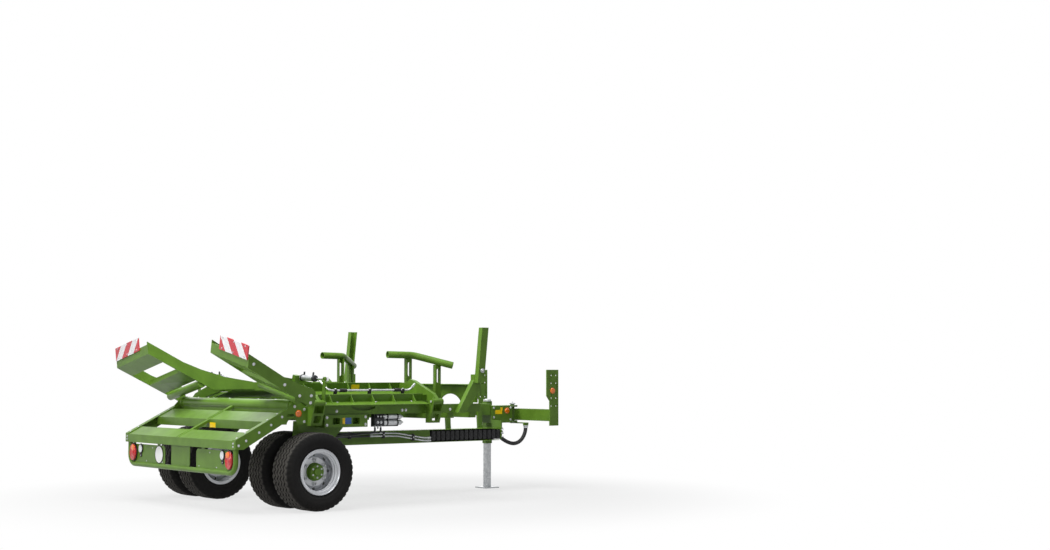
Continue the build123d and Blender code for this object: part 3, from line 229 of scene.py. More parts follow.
@dataclass(frozen=True)
class Finish:
    """Procedural surface: two shades mixed by noise, dust toward the ground, and a fine relief.

    Attributes:
        name: Name of the material.
        slot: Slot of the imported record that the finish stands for.
        light: Lighter shade, linear.
        dark: Darker shade, linear.
        roughness: Mean roughness.
        metallic: Share of metal.
        shine: Level of the plain reflection.
        coat: Weight of the clear coat.
        surface: Kind of fine relief.
        relief: Strength of the relief.
        mottle: Scale of the mixing noise, in waves per metre.
        dust: Share of dust at ground level.
    """

    name: str
    slot: str
    light: Colour
    dark: Colour
    roughness: float = 0.4
    metallic: float = 0.0
    shine: float = 0.3
    coat: float = 0.0
    surface: Surface = Surface.ORANGE_PEEL
    relief: float = 0.05
    mottle: float = 6.0
    dust: float = 0.0

    def material(self) -> bpy.types.Material:
        """Material of this finish, made once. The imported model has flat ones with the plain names.

        Returns:
            The Blender material.
        """
        title = f"{self.name}_finish"
        known = bpy.data.materials.get(title)
        if known:
            return known
        made = bpy.data.materials.new(title)
        made.use_nodes = True
        graph = Graph(made.node_tree)
        place = graph.add("TexCoord", "Object", {})
        inputs = {
            "Metallic": self.metallic,
            "Specular IOR Level": self.shine,
            "Coat Weight": self.coat,
            "Coat Roughness": COAT_ROUGHNESS,
            "Base Color": self.dusted(graph, place, self.base(graph, place)),
            "Roughness": self.gloss(graph, place),
            "Normal": self.bumps(graph, place),
        }
        graph.feed(made.node_tree.nodes["Principled BSDF"], inputs)
        return made

    def base(self, graph: Graph, place: Socket) -> Socket:
        """Socket of the two shades, mixed by noise."""
        return graph.ramp(graph.noise(place, self.mottle), ((0.35, self.dark), (0.65, self.light)))

    def dusted(self, graph: Graph, place: Socket, colour: Socket) -> Socket:
        """Lay dust that thins out upward over a colour.

        Args:
            graph: Nodes of the material.
            place: Socket of the coordinates.
            colour: Socket of the clean colour.

        Returns:
            Socket of the dusty colour.
        """
        if not self.dust:
            return colour
        height = graph.add("SeparateXYZ", "Z", {"Vector": place})
        span = {"Value": height, "From Max": DUST_TOP, "To Min": self.dust, "To Max": 0.0}
        fade = graph.add("MapRange", "Result", span)
        share = graph.math("MULTIPLY", fade, graph.noise(place, DUST_WAVES, 6.0))
        mixed = {"Fac": share, "Color1": colour, "Color2": (*linear(*DUST_COLOUR), 1)}
        return graph.add("MixRGB", "Color", mixed)

    def gloss(self, graph: Graph, place: Socket) -> Socket:
        """Let the roughness wander around its mean.

        Args:
            graph: Nodes of the material.
            place: Socket of the coordinates.

        Returns:
            Socket of the roughness.
        """
        least = max(0.02, self.roughness + GLOSS_SPREAD[0])
        most = min(1.0, self.roughness + GLOSS_SPREAD[1])
        span = {"Value": graph.noise(place, GLOSS_WAVES), "To Min": least, "To Max": most}
        return graph.add("MapRange", "Result", span)

    def bumps(self, graph: Graph, place: Socket) -> Socket:
        """Make the fine relief.

        Args:
            graph: Nodes of the material.
            place: Socket of the coordinates.

        Returns:
            Socket of the normal.
        """
        if self.surface is Surface.RIBBED:
            ribs = {"Vector": place, "Scale": self.surface.value / 2, "Distortion": 0.4}
            height = graph.add("TexWave", "Fac", ribs)
        else:
            height = graph.noise(place, self.surface.value, 2.0)
        relief = {"Height": height, "Strength": self.relief, "Distance": RELIEF_DEPTH}
        return graph.add("Bump", "Normal", relief)


@dataclass(frozen=True)
class StripedFinish(Finish):
    """Red and white stripes that fall toward the outside of the machine.

    Attributes:
        side: Side whose board is striped.
        stripe: Width of a stripe along the board.
    """

    side: Side = Side.RIGHT
    stripe: float = 0.141

    def base(self, graph: Graph, place: Socket) -> Socket:
        """Make the stripes, worked out in the folded wing's own directions.

        Args:
            graph: Nodes of the material.
            place: Socket of the coordinates.

        Returns:
            Socket of the colour.
        """
        rise, run = math.sin(FOLD_SLOPE), math.cos(FOLD_SLOPE)
        period = 2 * self.stripe
        slant = (0, self.side.value * (run + rise) / period, (run - rise) / period)
        across = graph.add("VectorMath", "Value", {0: place, 1: slant}, "DOT_PRODUCT")
        step = graph.math("GREATER_THAN", graph.math("FRACT", across), 0.5)
        mixed = {"Fac": step, "Color1": (*self.dark, 1), "Color2": (*self.light, 1)}
        return graph.add("MixRGB", "Color", mixed)


@dataclass(frozen=True)
class TyreFinish(Finish):
    """Rubber coloured by the distance from the axle: plain walls, painted shade in the grooves and the
    shoulders' notches, and the ribs' outer faces lighter from dust with a painted highlight.

    Attributes:
        axle_x: x of the axle.
        axle_z: Height of the axle.
        span: Distances from the axle where the shades start and end.
        dust_and_highlight_tops: Colour of the ribs' outer faces, linear: dust with a painted highlight.
    """

    axle_x: float = -1.385
    axle_z: float = 0.3825
    span: tuple[float, float] = (0.2, 0.3825)
    # Dust with a painted highlight on the ribs' outer faces
    dust_and_highlight_tops: Colour = linear(66, 64, 61)

    def base(self, graph: Graph, place: Socket) -> Socket:
        """Find the colour at each distance from the axle, with painted shade deep in the grooves and dust
        with a painted highlight on the ribs' outer faces.

        Args:
            graph: Nodes of the material.
            place: Socket of the coordinates.

        Returns:
            Socket of the colour.
        """
        level = graph.add("VectorMath", "Vector", {0: place, 1: (1, 0, 1)}, "MULTIPLY")
        axle = (self.axle_x, 0, self.axle_z)
        reach = graph.add("VectorMath", "Value", {0: level, 1: axle}, "DISTANCE")
        span = {"Value": reach, "From Min": self.span[0], "From Max": self.span[1]}
        # Painted shade (the darker rubber) at the groove floors and shoulder notches, and dust with a painted
        # highlight on the ribs' outer faces
        stops = [(0.0, self.light), (0.74, self.light), (0.9, self.dark), (0.95, self.light)]
        stops += [(0.985, self.dust_and_highlight_tops), (1.0, self.dust_and_highlight_tops)]
        return graph.ramp(graph.add("MapRange", "Result", span), stops)


def finish(
    name: str, light: Colour, dark: Colour, roughness: float, slot: str = "", **more: object
) -> Finish:
    """Finish from two display colours of 0 to 255, for the slot of its own name if none is given."""
    return Finish(name, slot or name, linear(*light), linear(*dark), roughness, **more)


GRAINED = {"surface": Surface.GRAIN}
BRUSHED = {"surface": Surface.BRUSHED}
GREEN = finish("green_paint", (92, 127, 41), (83, 116, 35), 0.34, shine=0.2, coat=0.05, dust=0.03)
SILVER = finish("silver_paint", (204, 206, 210), (188, 190, 194), 0.3, metallic=0.4, coat=0.2)
# Plain tyre rubber, then a darker colour that is painted shade in the tyre's grooves and notches
RUBBER_AND_GROOVE_SHADE = (linear(20, 20, 21), linear(8, 8, 8))
TYRE = TyreFinish(
    "tyre_rubber", "tyre_rubber", *RUBBER_AND_GROOVE_SHADE, 0.8, **GRAINED, shine=0.18, relief=0.25, dust=0.02
)
BLACK = finish("black_plastic", (34, 34, 36), (20, 20, 22), 0.42, **GRAINED, relief=0.12, mottle=20)
HOSE = finish(
    "hose_rubber", (34, 34, 35), (18, 18, 19), 0.5, surface=Surface.RIBBED, relief=1.0, mottle=30
)
RED_LENS = finish(
    "lamp_red", (196, 30, 34), (168, 18, 24), 0.16, coat=0.6, **GRAINED, relief=0.1, mottle=25
)
AMBER = finish(
    "lamp_amber", (244, 126, 20), (228, 104, 12), 0.18, "lamp_red", coat=0.6, **GRAINED, relief=0.1
)
WHITE_LENS = finish(
    "white_lens", (236, 238, 240), (212, 216, 220), 0.14, "reflector_white", coat=0.5, mottle=30
)
WHITE_PLATE = finish("white_plate", (240, 240, 238), (228, 228, 226), 0.35, coat=0.2)
ZINC = finish("zinc_steel", (204, 206, 208), (178, 181, 184), 0.3, metallic=0.5, **BRUSHED, mottle=30)
CHROME = finish("chrome_rod", (226, 228, 230), (208, 210, 212), 0.09, metallic=1, **BRUSHED, relief=0.03)
IRON = finish("dark_steel", (66, 68, 70), (44, 46, 48), 0.5, metallic=0.6, **GRAINED, relief=0.2)
YELLOW = finish("yellow_patch", (255, 216, 24), (250, 206, 14), 0.3, "green_paint", coat=0.2)
BLUE = finish("blue_patch", (48, 98, 172), (38, 84, 154), 0.3, "green_paint", coat=0.3)
BOARD_COLOURS = (linear(222, 221, 222), linear(186, 36, 48))
STRIPES = {
    side: StripedFinish(
        f"board_stripes_{side.label}", "board_stripes", *BOARD_COLOURS, 0.28, coat=0.3, side=side
    )
    for side in Side
}
# Finish of the nodes of each slot, apart from the striped boards
NODE_FINISHES = {
    each.slot: each
    for each in (GREEN, SILVER, TYRE, BLACK, HOSE, RED_LENS, WHITE_LENS, WHITE_PLATE, ZINC, CHROME, IRON)
}


# Meshes


def circle(count: int) -> list[tuple[float, float]]:
    """Cosine and sine of each corner around a circle."""
    turns = [2 * math.pi * step / count for step in range(count)]
    return [(math.cos(turn), math.sin(turn)) for turn in turns]


def scaled(profile: Profile, size: float) -> list[tuple[float, float]]:
    """Profile in metres from one in shares of a size."""
    return [(size * along, size * ring) for along, ring in profile]


def placed(name: str, data: bpy.types.ID) -> bpy.types.Object:
    """Make an object of the scene.

    Args:
        name: Name of the object.
        data: Its mesh, curve, lamp or camera.

    Returns:
        The object.
    """
    made = bpy.data.objects.new(name, data)
    bpy.context.scene.collection.objects.link(made)
    return made


@dataclass
class Piece:
    """A mesh that grows part by part before it becomes one object of the scene.

    Attributes:
        name: Name of the object.
        finish: Finish of the whole piece.
        body: CAD body that it rides on.
        mesh: Mesh so far.
    """

    name: str
    finish: Finish
    body: str
    mesh: bmesh.types.BMesh = field(default_factory=bmesh.new)

    def points(self, spots: Iterable[Vector]) -> list[bmesh.types.BMVert]:
        """New points of the mesh."""
        return [self.mesh.verts.new(spot) for spot in spots]

    def skin(self, rings: Sequence[Sequence[bmesh.types.BMVert]], closed: bool = False) -> None:
        """Join rings of points by faces.

        Args:
            rings: Rings in order, each with the same count of points or with one point.
            closed: Whether the last ring joins the first.
        """
        pairs = list(zip(rings, rings[1:]))
        if closed:
            pairs.append((rings[-1], rings[0]))
        for lower, upper in pairs:
            count = max(len(lower), len(upper))
            for step in range(count):
                following = (step + 1) % count
                corners = [lower[step % len(lower)], lower[following % len(lower)]]
                corners += [upper[following % len(upper)], upper[step % len(upper)]]
                self.mesh.faces.new(dict.fromkeys(corners))

    def solid(self, rings: Sequence[Sequence[bmesh.types.BMVert]]) -> None:
        """Join rings by faces and close both ends.

        Args:
            rings: Rings in order, each with the same count of points.
        """
        self.skin(rings)
        self.mesh.faces.new(list(reversed(rings[0])))
        self.mesh.faces.new(rings[-1])

    def lathe(
        self,
        profile: Profile,
        origin: Vector,
        axis: Vector,
        segments: int = 24,
        stretch: tuple[float, float] = (1.0, 1.0),
        closed: bool = False,
    ) -> None:
        """Add a turned part, or an oval one.

        Args:
            profile: Distance along the axis and radius of each ring. A radius of 0 closes an end.
            origin: Point on the axis where the distance is 0.
            axis: Direction of the axis.
            segments: Sides around the axis.
            stretch: Factors of the width and the height of the rings.
            closed: Whether the profile is a loop, as on a ring.
        """
        turn = axis.normalized().to_track_quat("Z", "Y").to_matrix().to_4x4()
        place = Matrix.Translation(origin) @ turn
        rings = []
        for along, radius in profile:
            corners = circle(segments) if radius else [(0.0, 0.0)]
            width, height = radius * stretch[0], radius * stretch[1]
            spots = [Vector((width * across, height * rise, along)) for across, rise in corners]
            rings.append(self.points(place @ spot for spot in spots))
        self.skin(rings, closed)

    def bolt(self, seat: Vector, axis: Vector, size: float) -> None:
        """Add a hexagon bolt head with a domed top on a washer. The size is the thread's diameter."""
        self.lathe(scaled(WASHER, size), seat, axis, 20)
        self.lathe(scaled(BOLT_HEAD, size), seat, axis, 6)

    def button(self, seat: Vector, axis: Vector, radius: float) -> None:
        """Add a round domed head, as on a carriage bolt or a rivet."""
        self.lathe(scaled(BUTTON, radius), seat, axis, 20)

    def fitting(self, seat: Vector, axis: Vector, size: float) -> None:
        """Add a pipe fitting: two hexagons, a collar between them and a crimped sleeve.

        Args:
            seat: Middle of the end that screws in.
            axis: Way that the fitting points.
            size: Outer radius of its hexagons.
        """
        for start in (0.0, 1.5):
            nut = [(start + along, ring) for along, ring in FITTING_NUT]
            self.lathe(scaled(nut, size), seat, axis, 6)
        self.lathe(scaled(FITTING_SLEEVE, size), seat, axis, 18)

    def hoop(
        self, centre: Vector, ahead: Vector, radius: float, segments: int
    ) -> list[bmesh.types.BMVert]:
        """Add a ring of points square to a direction.

        Args:
            centre: Middle of the ring.
            ahead: Direction that it is square to.
            radius: Radius of the ring.
            segments: Count of its points.

        Returns:
            The points.
        """
        turn = ahead.to_track_quat("Z", "Y").to_matrix()
        spots = [Vector((radius * across, radius * rise, 0)) for across, rise in circle(segments)]
        return self.points(centre + turn @ spot for spot in spots)

    def tube(self, points: Sequence[Vector], radius: float, segments: int = 12) -> None:
        """Add a rigid round pipe along points, with flat ends.

        Args:
            points: Line that the pipe follows.
            radius: Radius of the pipe.
            segments: Sides around the pipe.
        """
        rings = []
        for index, point in enumerate(points):
            ahead = points[min(index + 1, len(points) - 1)] - points[max(index - 1, 0)]
            rings.append(self.hoop(point, ahead, radius, segments))
        self.solid(rings)

    def weld(self, start: Vector, end: Vector, radius: float = 0.004, pitch: float = 0.007) -> None:
        """Add a weld bead with ripples along a seam.

        Args:
            start: Where the seam starts.
            end: Where it ends.
            radius: Mean radius of the bead.
            pitch: Distance between two ripples.
        """
        count = max(4, int((end - start).length / pitch) * 2)
        rings = []
        for step in range(count + 1):
            swell = radius * (0.35 if step in (0, count) else 1.12 if step % 2 else 0.86)
            rings.append(self.hoop(start.lerp(end, step / count), end - start, swell, 6))
        self.solid(rings)

    def pad(self, centre: Vector, across: Vector, up: Vector, size: Point, round_by: float) -> None:
        """Add a pad with rounded corners and a chamfered rim.

        Args:
            centre: Middle of the pad's underside.
            across: Direction of its width.
            up: Direction of its height. The pad rises along across times up.
            size: Width, height and thickness.
            round_by: Radius of the corners.
        """
        width, height, thick = size
        across, up = across.normalized(), up.normalized()
        out = across.cross(up)
        corners = []
        for quarter, (sign_x, sign_y) in enumerate(((1, 1), (-1, 1), (-1, -1), (1, -1))):
            for step in range(5):
                angle = math.pi / 2 * (quarter + step / 4)
                corner_x = sign_x * (width / 2 - round_by) + round_by * math.cos(angle)
                corner_y = sign_y * (height / 2 - round_by) + round_by * math.sin(angle)
                corners.append((corner_x, corner_y))
        rim = min(thick, round_by) * 0.35
        rings = []
        for lift, inset in ((0, 0), (thick - rim, 0), (thick, rim)):
            shrink_x = 1 - inset / (width / 2)
            shrink_y = 1 - inset / (height / 2)
            ring = []
            for corner_x, corner_y in corners:
                spot = centre + across * corner_x * shrink_x + out * lift
                ring.append(spot + up * corner_y * shrink_y)
            rings.append(self.points(ring))
        self.solid(rings)

    def patch(self, centre: Vector, across: Vector, up: Vector, width: float, height: float) -> None:
        """Add a thin blank patch, placed like a pad."""
        self.pad(centre, across, up, (width, height, PATCH_THICK), PATCH_CORNER)

    def done(self, sharp: float = 32.0) -> bpy.types.Object:
        """Make the object, dress it and let it ride on its body.

        Args:
            sharp: Angle in degrees above which an edge stays sharp.

        Returns:
            The object of the scene.
        """
        bmesh.ops.recalc_face_normals(self.mesh, faces=self.mesh.faces[:])
        data = bpy.data.meshes.new(self.name)
        self.mesh.to_mesh(data)
        self.mesh.free()
        data.polygons.foreach_set("use_smooth", [True] * len(data.polygons))
        data.set_sharp_from_angle(angle=math.radians(sharp))
        return dress(placed(self.name, data), self.finish, self.body)


def dress(made: bpy.types.Object, look: Finish, body: str) -> bpy.types.Object:
    """Give a new object its finish and body.

    Args:
        made: Object of the scene.
        look: Its finish.
        body: CAD body that it rides on.

    Returns:
        The same object.
    """
    made.data.materials.append(look.material())
    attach(made, body)
    LOG.info("%s rides on %s", made.name, body)
    return made


def all_done(*pieces: Piece) -> None:
    """Make the objects of several pieces, in order."""
    for piece in pieces:
        piece.done()


# Sub-assemblies


@dataclass
class Studio:
    """Floor, light and camera.

    Attributes:
        eye: Place of the camera.
        yaw: Turn of the view from +X toward +Y, in degrees.
        pitch: Rise of the view, in degrees.
        lens: Focal length on a 36 mm sensor.
        pale: Colour of the floor around the part.
        clear_floor: Distances from the part's middle where the floor starts and ends to turn white.
        least_white: Share of white in the floor under the part.
        floor_reach: Half of the floor's width.
        sky: Colour of the world's light.
        sky_strength: Strength of the world's light.
        target: Point that the lamps face.
        lamps: Name, place, width and power of each lamp.
    """

    eye: Point = (-9.69748, -14.76567, 1.36549)
    yaw: float = 50.93628
    pitch: float = 3.43324
    lens: float = 54.857
    pale: Colour = (0.42, 0.42, 0.42)
    clear_floor: tuple[float, float] = (2.2, 4.8)
    least_white: float = 0.72
    floor_reach: float = 60.0
    sky: Colour = (0.95, 0.97, 1)
    sky_strength: float = 0.18
    target: Point = (0, 0, 0.7)
    lamps: tuple[tuple[str, Point, float, float], ...] = (
        ("key", (-3.0, -1.0, 8.0), 6.0, 1100.0),
        ("fill", (-11.0, -3.0, 4.5), 5.0, 420.0),
        ("back", (5.2, 9.8, 4.3), 8.0, 200.0),
    )

    def camera(self) -> None:
        """Set the camera of the photograph's view."""
        data = bpy.data.cameras.new("camera")
        data.lens = self.lens
        data.sensor_width = 36.0
        data.sensor_fit = "HORIZONTAL"
        data.clip_end = 200.0
        camera = placed("camera", data)
        camera.location = self.eye
        camera.rotation_euler = (math.radians(90 + self.pitch), 0, math.radians(self.yaw - 90))
        bpy.context.scene.camera = camera

    def lamp(self, name: str, place: Point, size: float, power: float) -> None:
        """Add a square area lamp that faces the middle of the part.

        Args:
            name: Name of the lamp.
            place: Where it hangs.
            size: Its width.
            power: Its power in watts.
        """
        data = bpy.data.lights.new(name, "AREA")
        data.size = size
        data.energy = power
        lamp = placed(name, data)
        lamp.location = place
        lamp.rotation_euler = (Vector(self.target) - Vector(place)).to_track_quat("-Z", "Y").to_euler()

    def floor(self) -> None:
        """Lay a pale floor that shows white further out and keeps the shadow."""
        reach = self.floor_reach
        corners = [(-reach, -reach, 0), (reach, -reach, 0), (reach, reach, 0), (-reach, reach, 0)]
        data = bpy.data.meshes.new("floor")
        data.from_pydata(corners, [], [(0, 1, 2, 3)])
        data.materials.append(self.floor_material())
        floor = placed("floor", data)

    @staticmethod
    def looking_rays(graph: Graph) -> Socket:
        """Find rays that see the white background: the camera's, and those of a gloss or a glass.

        Args:
            graph: Nodes of the floor or the world.

        Returns:
            Socket that is 1 for such a ray.
        """
        rays = graph.tree.nodes.new("ShaderNodeLightPath").outputs
        seen = rays["Is Camera Ray"]
        for kind in ("Is Glossy Ray", "Is Transmission Ray"):
            seen = graph.math("MAXIMUM", seen, rays[kind])
        return seen

    def floor_material(self) -> bpy.types.Material:
        """Matt floor around the part, which turns into plain white further out.

        Returns:
            The floor's material.
        """
        pale = bpy.data.materials.new("pale_floor")
        pale.use_nodes = True
        nodes = pale.node_tree.nodes
        graph = Graph(pale.node_tree)
        matt = {"Base Color": (*self.pale, 1), "Roughness": 0.9, "Specular IOR Level": 0.1}
        graph.feed(nodes["Principled BSDF"], matt)
        white = graph.add("Emission", "Emission", {"Strength": 1.0})
        place = graph.add("TexCoord", "Object", {})
        reach = graph.add("VectorMath", "Value", {0: place}, "LENGTH")
        fade = nodes.new("ShaderNodeMapRange")
        fade.interpolation_type = "SMOOTHSTEP"
        near, far = self.clear_floor
        span = {"Value": reach, "From Min": near, "From Max": far, "To Min": self.least_white}
        graph.feed(fade, span)
        share = graph.math("MULTIPLY", self.looking_rays(graph), fade.outputs["Result"])
        mixed = {0: share, 1: nodes["Principled BSDF"].outputs["BSDF"], 2: white}
        graph.feed(nodes["Material Output"], {"Surface": graph.add("MixShader", "Shader", mixed)})
        return pale

    def world(self) -> None:
        """Light the world softly, and show it white to the rays that look."""
        world = bpy.data.worlds.new("studio")
        world.use_nodes = True
        nodes = world.node_tree.nodes
        graph = Graph(world.node_tree)
        soft = nodes["Background"]
        graph.feed(soft, {"Color": (*self.sky, 1), "Strength": self.sky_strength})
        white = graph.add("Background", "Background", {"Color": (1, 1, 1, 1), "Strength": 1.0})
        mixed = {0: self.looking_rays(graph), 1: soft.outputs["Background"], 2: white}
        graph.feed(nodes["World Output"], {"Surface": graph.add("MixShader", "Shader", mixed)})
        bpy.context.scene.world = world

    def build(self) -> None:
        """Set up the whole studio."""
        bpy.context.scene.view_settings.view_transform = "Standard"
        self.camera()
        self.world()
        self.floor()
        for lamp in self.lamps:
            self.lamp(*lamp)


@dataclass
class Assembly:
    """A sub-assembly that is placed by x from the axle.

    Attributes:
        axle_x: x of the axle in the frame.
    """

    axle_x: float

    def at(self, x: float, y: float, z: float) -> Vector:
        """Point of the frame from x measured from the axle."""
        return Vector((self.axle_x + x, y, z))


@dataclass
class Hose(Assembly):
    """Ribbed hose loop between the chain's bracket and the drawbar's head.

    Attributes:
        route: Points of the route, with x from the axle.
        radius: Outer radius.
    """

    route: tuple[Point, ...] = (
        (3.102, -0.215, 0.622),
        (3.170, -0.215, 0.578),
        (3.242, -0.216, 0.543),
        (3.318, -0.217, 0.524),
        (3.394, -0.216, 0.536),
        (3.456, -0.212, 0.576),
        (3.497, -0.206, 0.630),
        (3.518, -0.201, 0.683),
        (3.520, -0.200, 0.733),
    )
    radius: float = 0.022

    def build(self) -> None:
        """Draw the hose as one smooth curve through the route."""
        data = bpy.data.curves.new("supply_hose_line", "CURVE")
        data.dimensions = "3D"
        data.bevel_depth = self.radius
        data.bevel_resolution = 6
        data.resolution_u = 16
        data.use_fill_caps = True
        line = data.splines.new("NURBS")
        line.points.add(len(self.route) - 1)
        for point, place in zip(line.points, self.route):
            point.co = (*self.at(*place), 1)
        line.order_u = 3
        line.use_endpoint_u = True
        hose = dress(placed("supply_hose_line", data), HOSE, "drawbar")
        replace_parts(hose, "supply_hose")
        self.at(*self.route[0])


@dataclass
class TwinWheels:
    """Two tyres with a zigzag rib tread, and the rim and hub hardware of one side.

    Attributes:
        side: Side of the machine.
        steps: Sides around a tyre.
        waves: Zigzags around a tyre.
        groove_depth: Depth of the tread's grooves.
        groove_half: Half of a groove's width.
        groove_slant: Lean of a groove's sides.
        grooves: Places of the grooves, in shares of half the tread.
        zigzag: Sway of a groove.
        notch: Depth of the notches in the tread's shoulders.
        nuts: Wheel nuts of a rim.
        nut_circle: Radius of the circle of nuts.
        cap_circle: Radius of the circle of the hub's bolts.
        disc_depth: Distance from the hub's end to the rim's disc.
        lip: Radius that the rim's inner rings stand on.
    """

    side: Side
    steps: int = 320
    waves: int = 40
    groove_depth: float = 0.016
    groove_half: float = 0.0085
    groove_slant: float = 0.003
    grooves: tuple[float, ...] = (-0.62, -0.21, 0.21, 0.62)
    zigzag: float = 0.013
    notch: float = 0.006
    nuts: int = 6
    nut_circle: float = 0.118
    cap_circle: float = 0.055
    disc_depth: float = 0.056
    lip: float = 0.196

    @property
    def body(self) -> str:
        """CAD body of the wheels."""
        return f"wheels_{self.side.label}"

    def section(self, half: float, radius: float, phase: float) -> list[tuple[float, float]]:
        """Outline of a tyre at one place of its zigzag.

        Args:
            half: Half of the tyre's width.
            radius: Outer radius.
            phase: Place in a wave, from 0 to 1.

        Returns:
            Distance across and radius of each point, from one bead over the tread to the other.
        """
        sway = (abs(2 * phase - 1) - 0.5) * 2 * self.zigzag
        cut = self.notch if phase < 0.36 else 0.0
        tread_half = half * 0.79
        left = [(-share * half, ring) for share, ring in TYRE_WALL]
        left += [(-half * 0.925, 0.359 - cut), (-tread_half, radius - 0.003 - cut)]
        middle = []
        floor, top = self.groove_half, self.groove_half + self.groove_slant
        for groove in self.grooves:
            place = groove * tread_half + sway
            middle.append((place - top, radius))
            middle.append((place - floor, radius - self.groove_depth))
            middle.append((place + floor, radius - self.groove_depth))
            middle.append((place + top, radius))
        right = [(-across, ring) for across, ring in reversed(left)]
        return left + middle + right

    def tyre(self, node: str) -> None:
        """Build a treaded tyre in the place of a CAD tyre.

        Args:
            node: Node of the CAD tyre.
        """
        low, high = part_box(node)
        centre = (low + high) / 2
        piece = Piece(f"{node}_tread", TYRE, self.body)
        rings = []
        for step in range(self.steps):
            angle = 2 * math.pi * step / self.steps
            phase = self.waves * step / self.steps % 1
            outline = self.section((high.y - low.y) / 2, (high.z - low.z) / 2, phase)
            turn = Vector((math.sin(angle), 0, -math.cos(angle)))
            rings.append(piece.points(centre + turn * ring + LEFTWARD * across for across, ring in outline))
        piece.skin(rings, closed=True)
        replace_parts(piece.done(40), node)

    def fasteners(self, face: Vector, disc: Vector) -> None:
        """Set nuts and a valve on the rim, and bolts on the hub.

        Args:
            face: Middle of the hub's outer end.
            disc: Middle of the rim's disc.
        """
        out = self.side.outward
        nuts = Piece(f"wheel_nuts_{self.side.label}", ZINC, self.body)
        bolts = Piece(f"hub_bolts_{self.side.label}", ZINC, self.body)
        stud = ((0.0, 0.0105), (0.034, 0.0105), (0.039, 0.007), (0.039, 0))
        for index in range(self.nuts):
            angle = 2 * math.pi * (index + 0.5) / self.nuts
            way = Vector((math.cos(angle), 0, math.sin(angle)))
            nuts.bolt(disc + way * self.nut_circle, out, 0.025)
            nuts.lathe(stud, disc + way * self.nut_circle, out, 12)
            bolts.bolt(face + way * self.cap_circle, out, 0.009)
        # The valve stands on the sloping part of the disc, further in than its flat part
        stem = disc + Vector((0.178, 0, 0.03)) - out * 0.027
        valve = ((0, 0), (0, 0.009), (0.012, 0.009), (0.016, 0.005), (0.038, 0.005), (0.038, 0.006))
        nuts.lathe((*valve, (0.05, 0.006), (0.052, 0)), stem, out, 14)
        all_done(nuts, bolts)

    def hardware(self) -> None:
        """Set the fasteners, a cap on the hub and rings on the rim."""
        low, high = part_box(f"hub_{self.side.label}")
        centre = (low + high) / 2
        out = self.side.outward
        face = Vector((centre.x, max(abs(low.y), abs(high.y)) * self.side.value, centre.z))
        disc = face - out * self.disc_depth
        self.fasteners(face, disc)
        cap = Piece(f"hub_cap_{self.side.label}", GREEN, self.body)
        dome = ((0, 0), (0, 0.04), (0.012, 0.04), (0.018, 0.037), (0.022, 0.028), (0.023, 0.012), (0.023, 0))
        cap.lathe(dome, face, out, 32)
        trim = Piece(f"rim_rings_{self.side.label}", SILVER, self.body)
        lip = ((0.0, 0.001), (0.0, -0.006), (0.006, -0.012), (0.014, -0.012), (0.024, 0.001))
        for reach in (0.030, 0.075):
            ring = [(along, self.lip + lift) for along, lift in lip]
            trim.lathe(ring, disc + out * reach, out, 72, closed=True)
        roll = [(0.112 + 0.007 * along, 0.219 + 0.007 * lift) for along, lift in circle(10)]
        trim.lathe(roll, disc, out, 96, closed=True)
        all_done(cap, trim)

    def build(self) -> None:
        """Build both tyres and the hardware of this side."""
        for place in ("outer", "inner"):
            self.tyre(f"tyre_{place}_{self.side.label}")
        self.hardware()


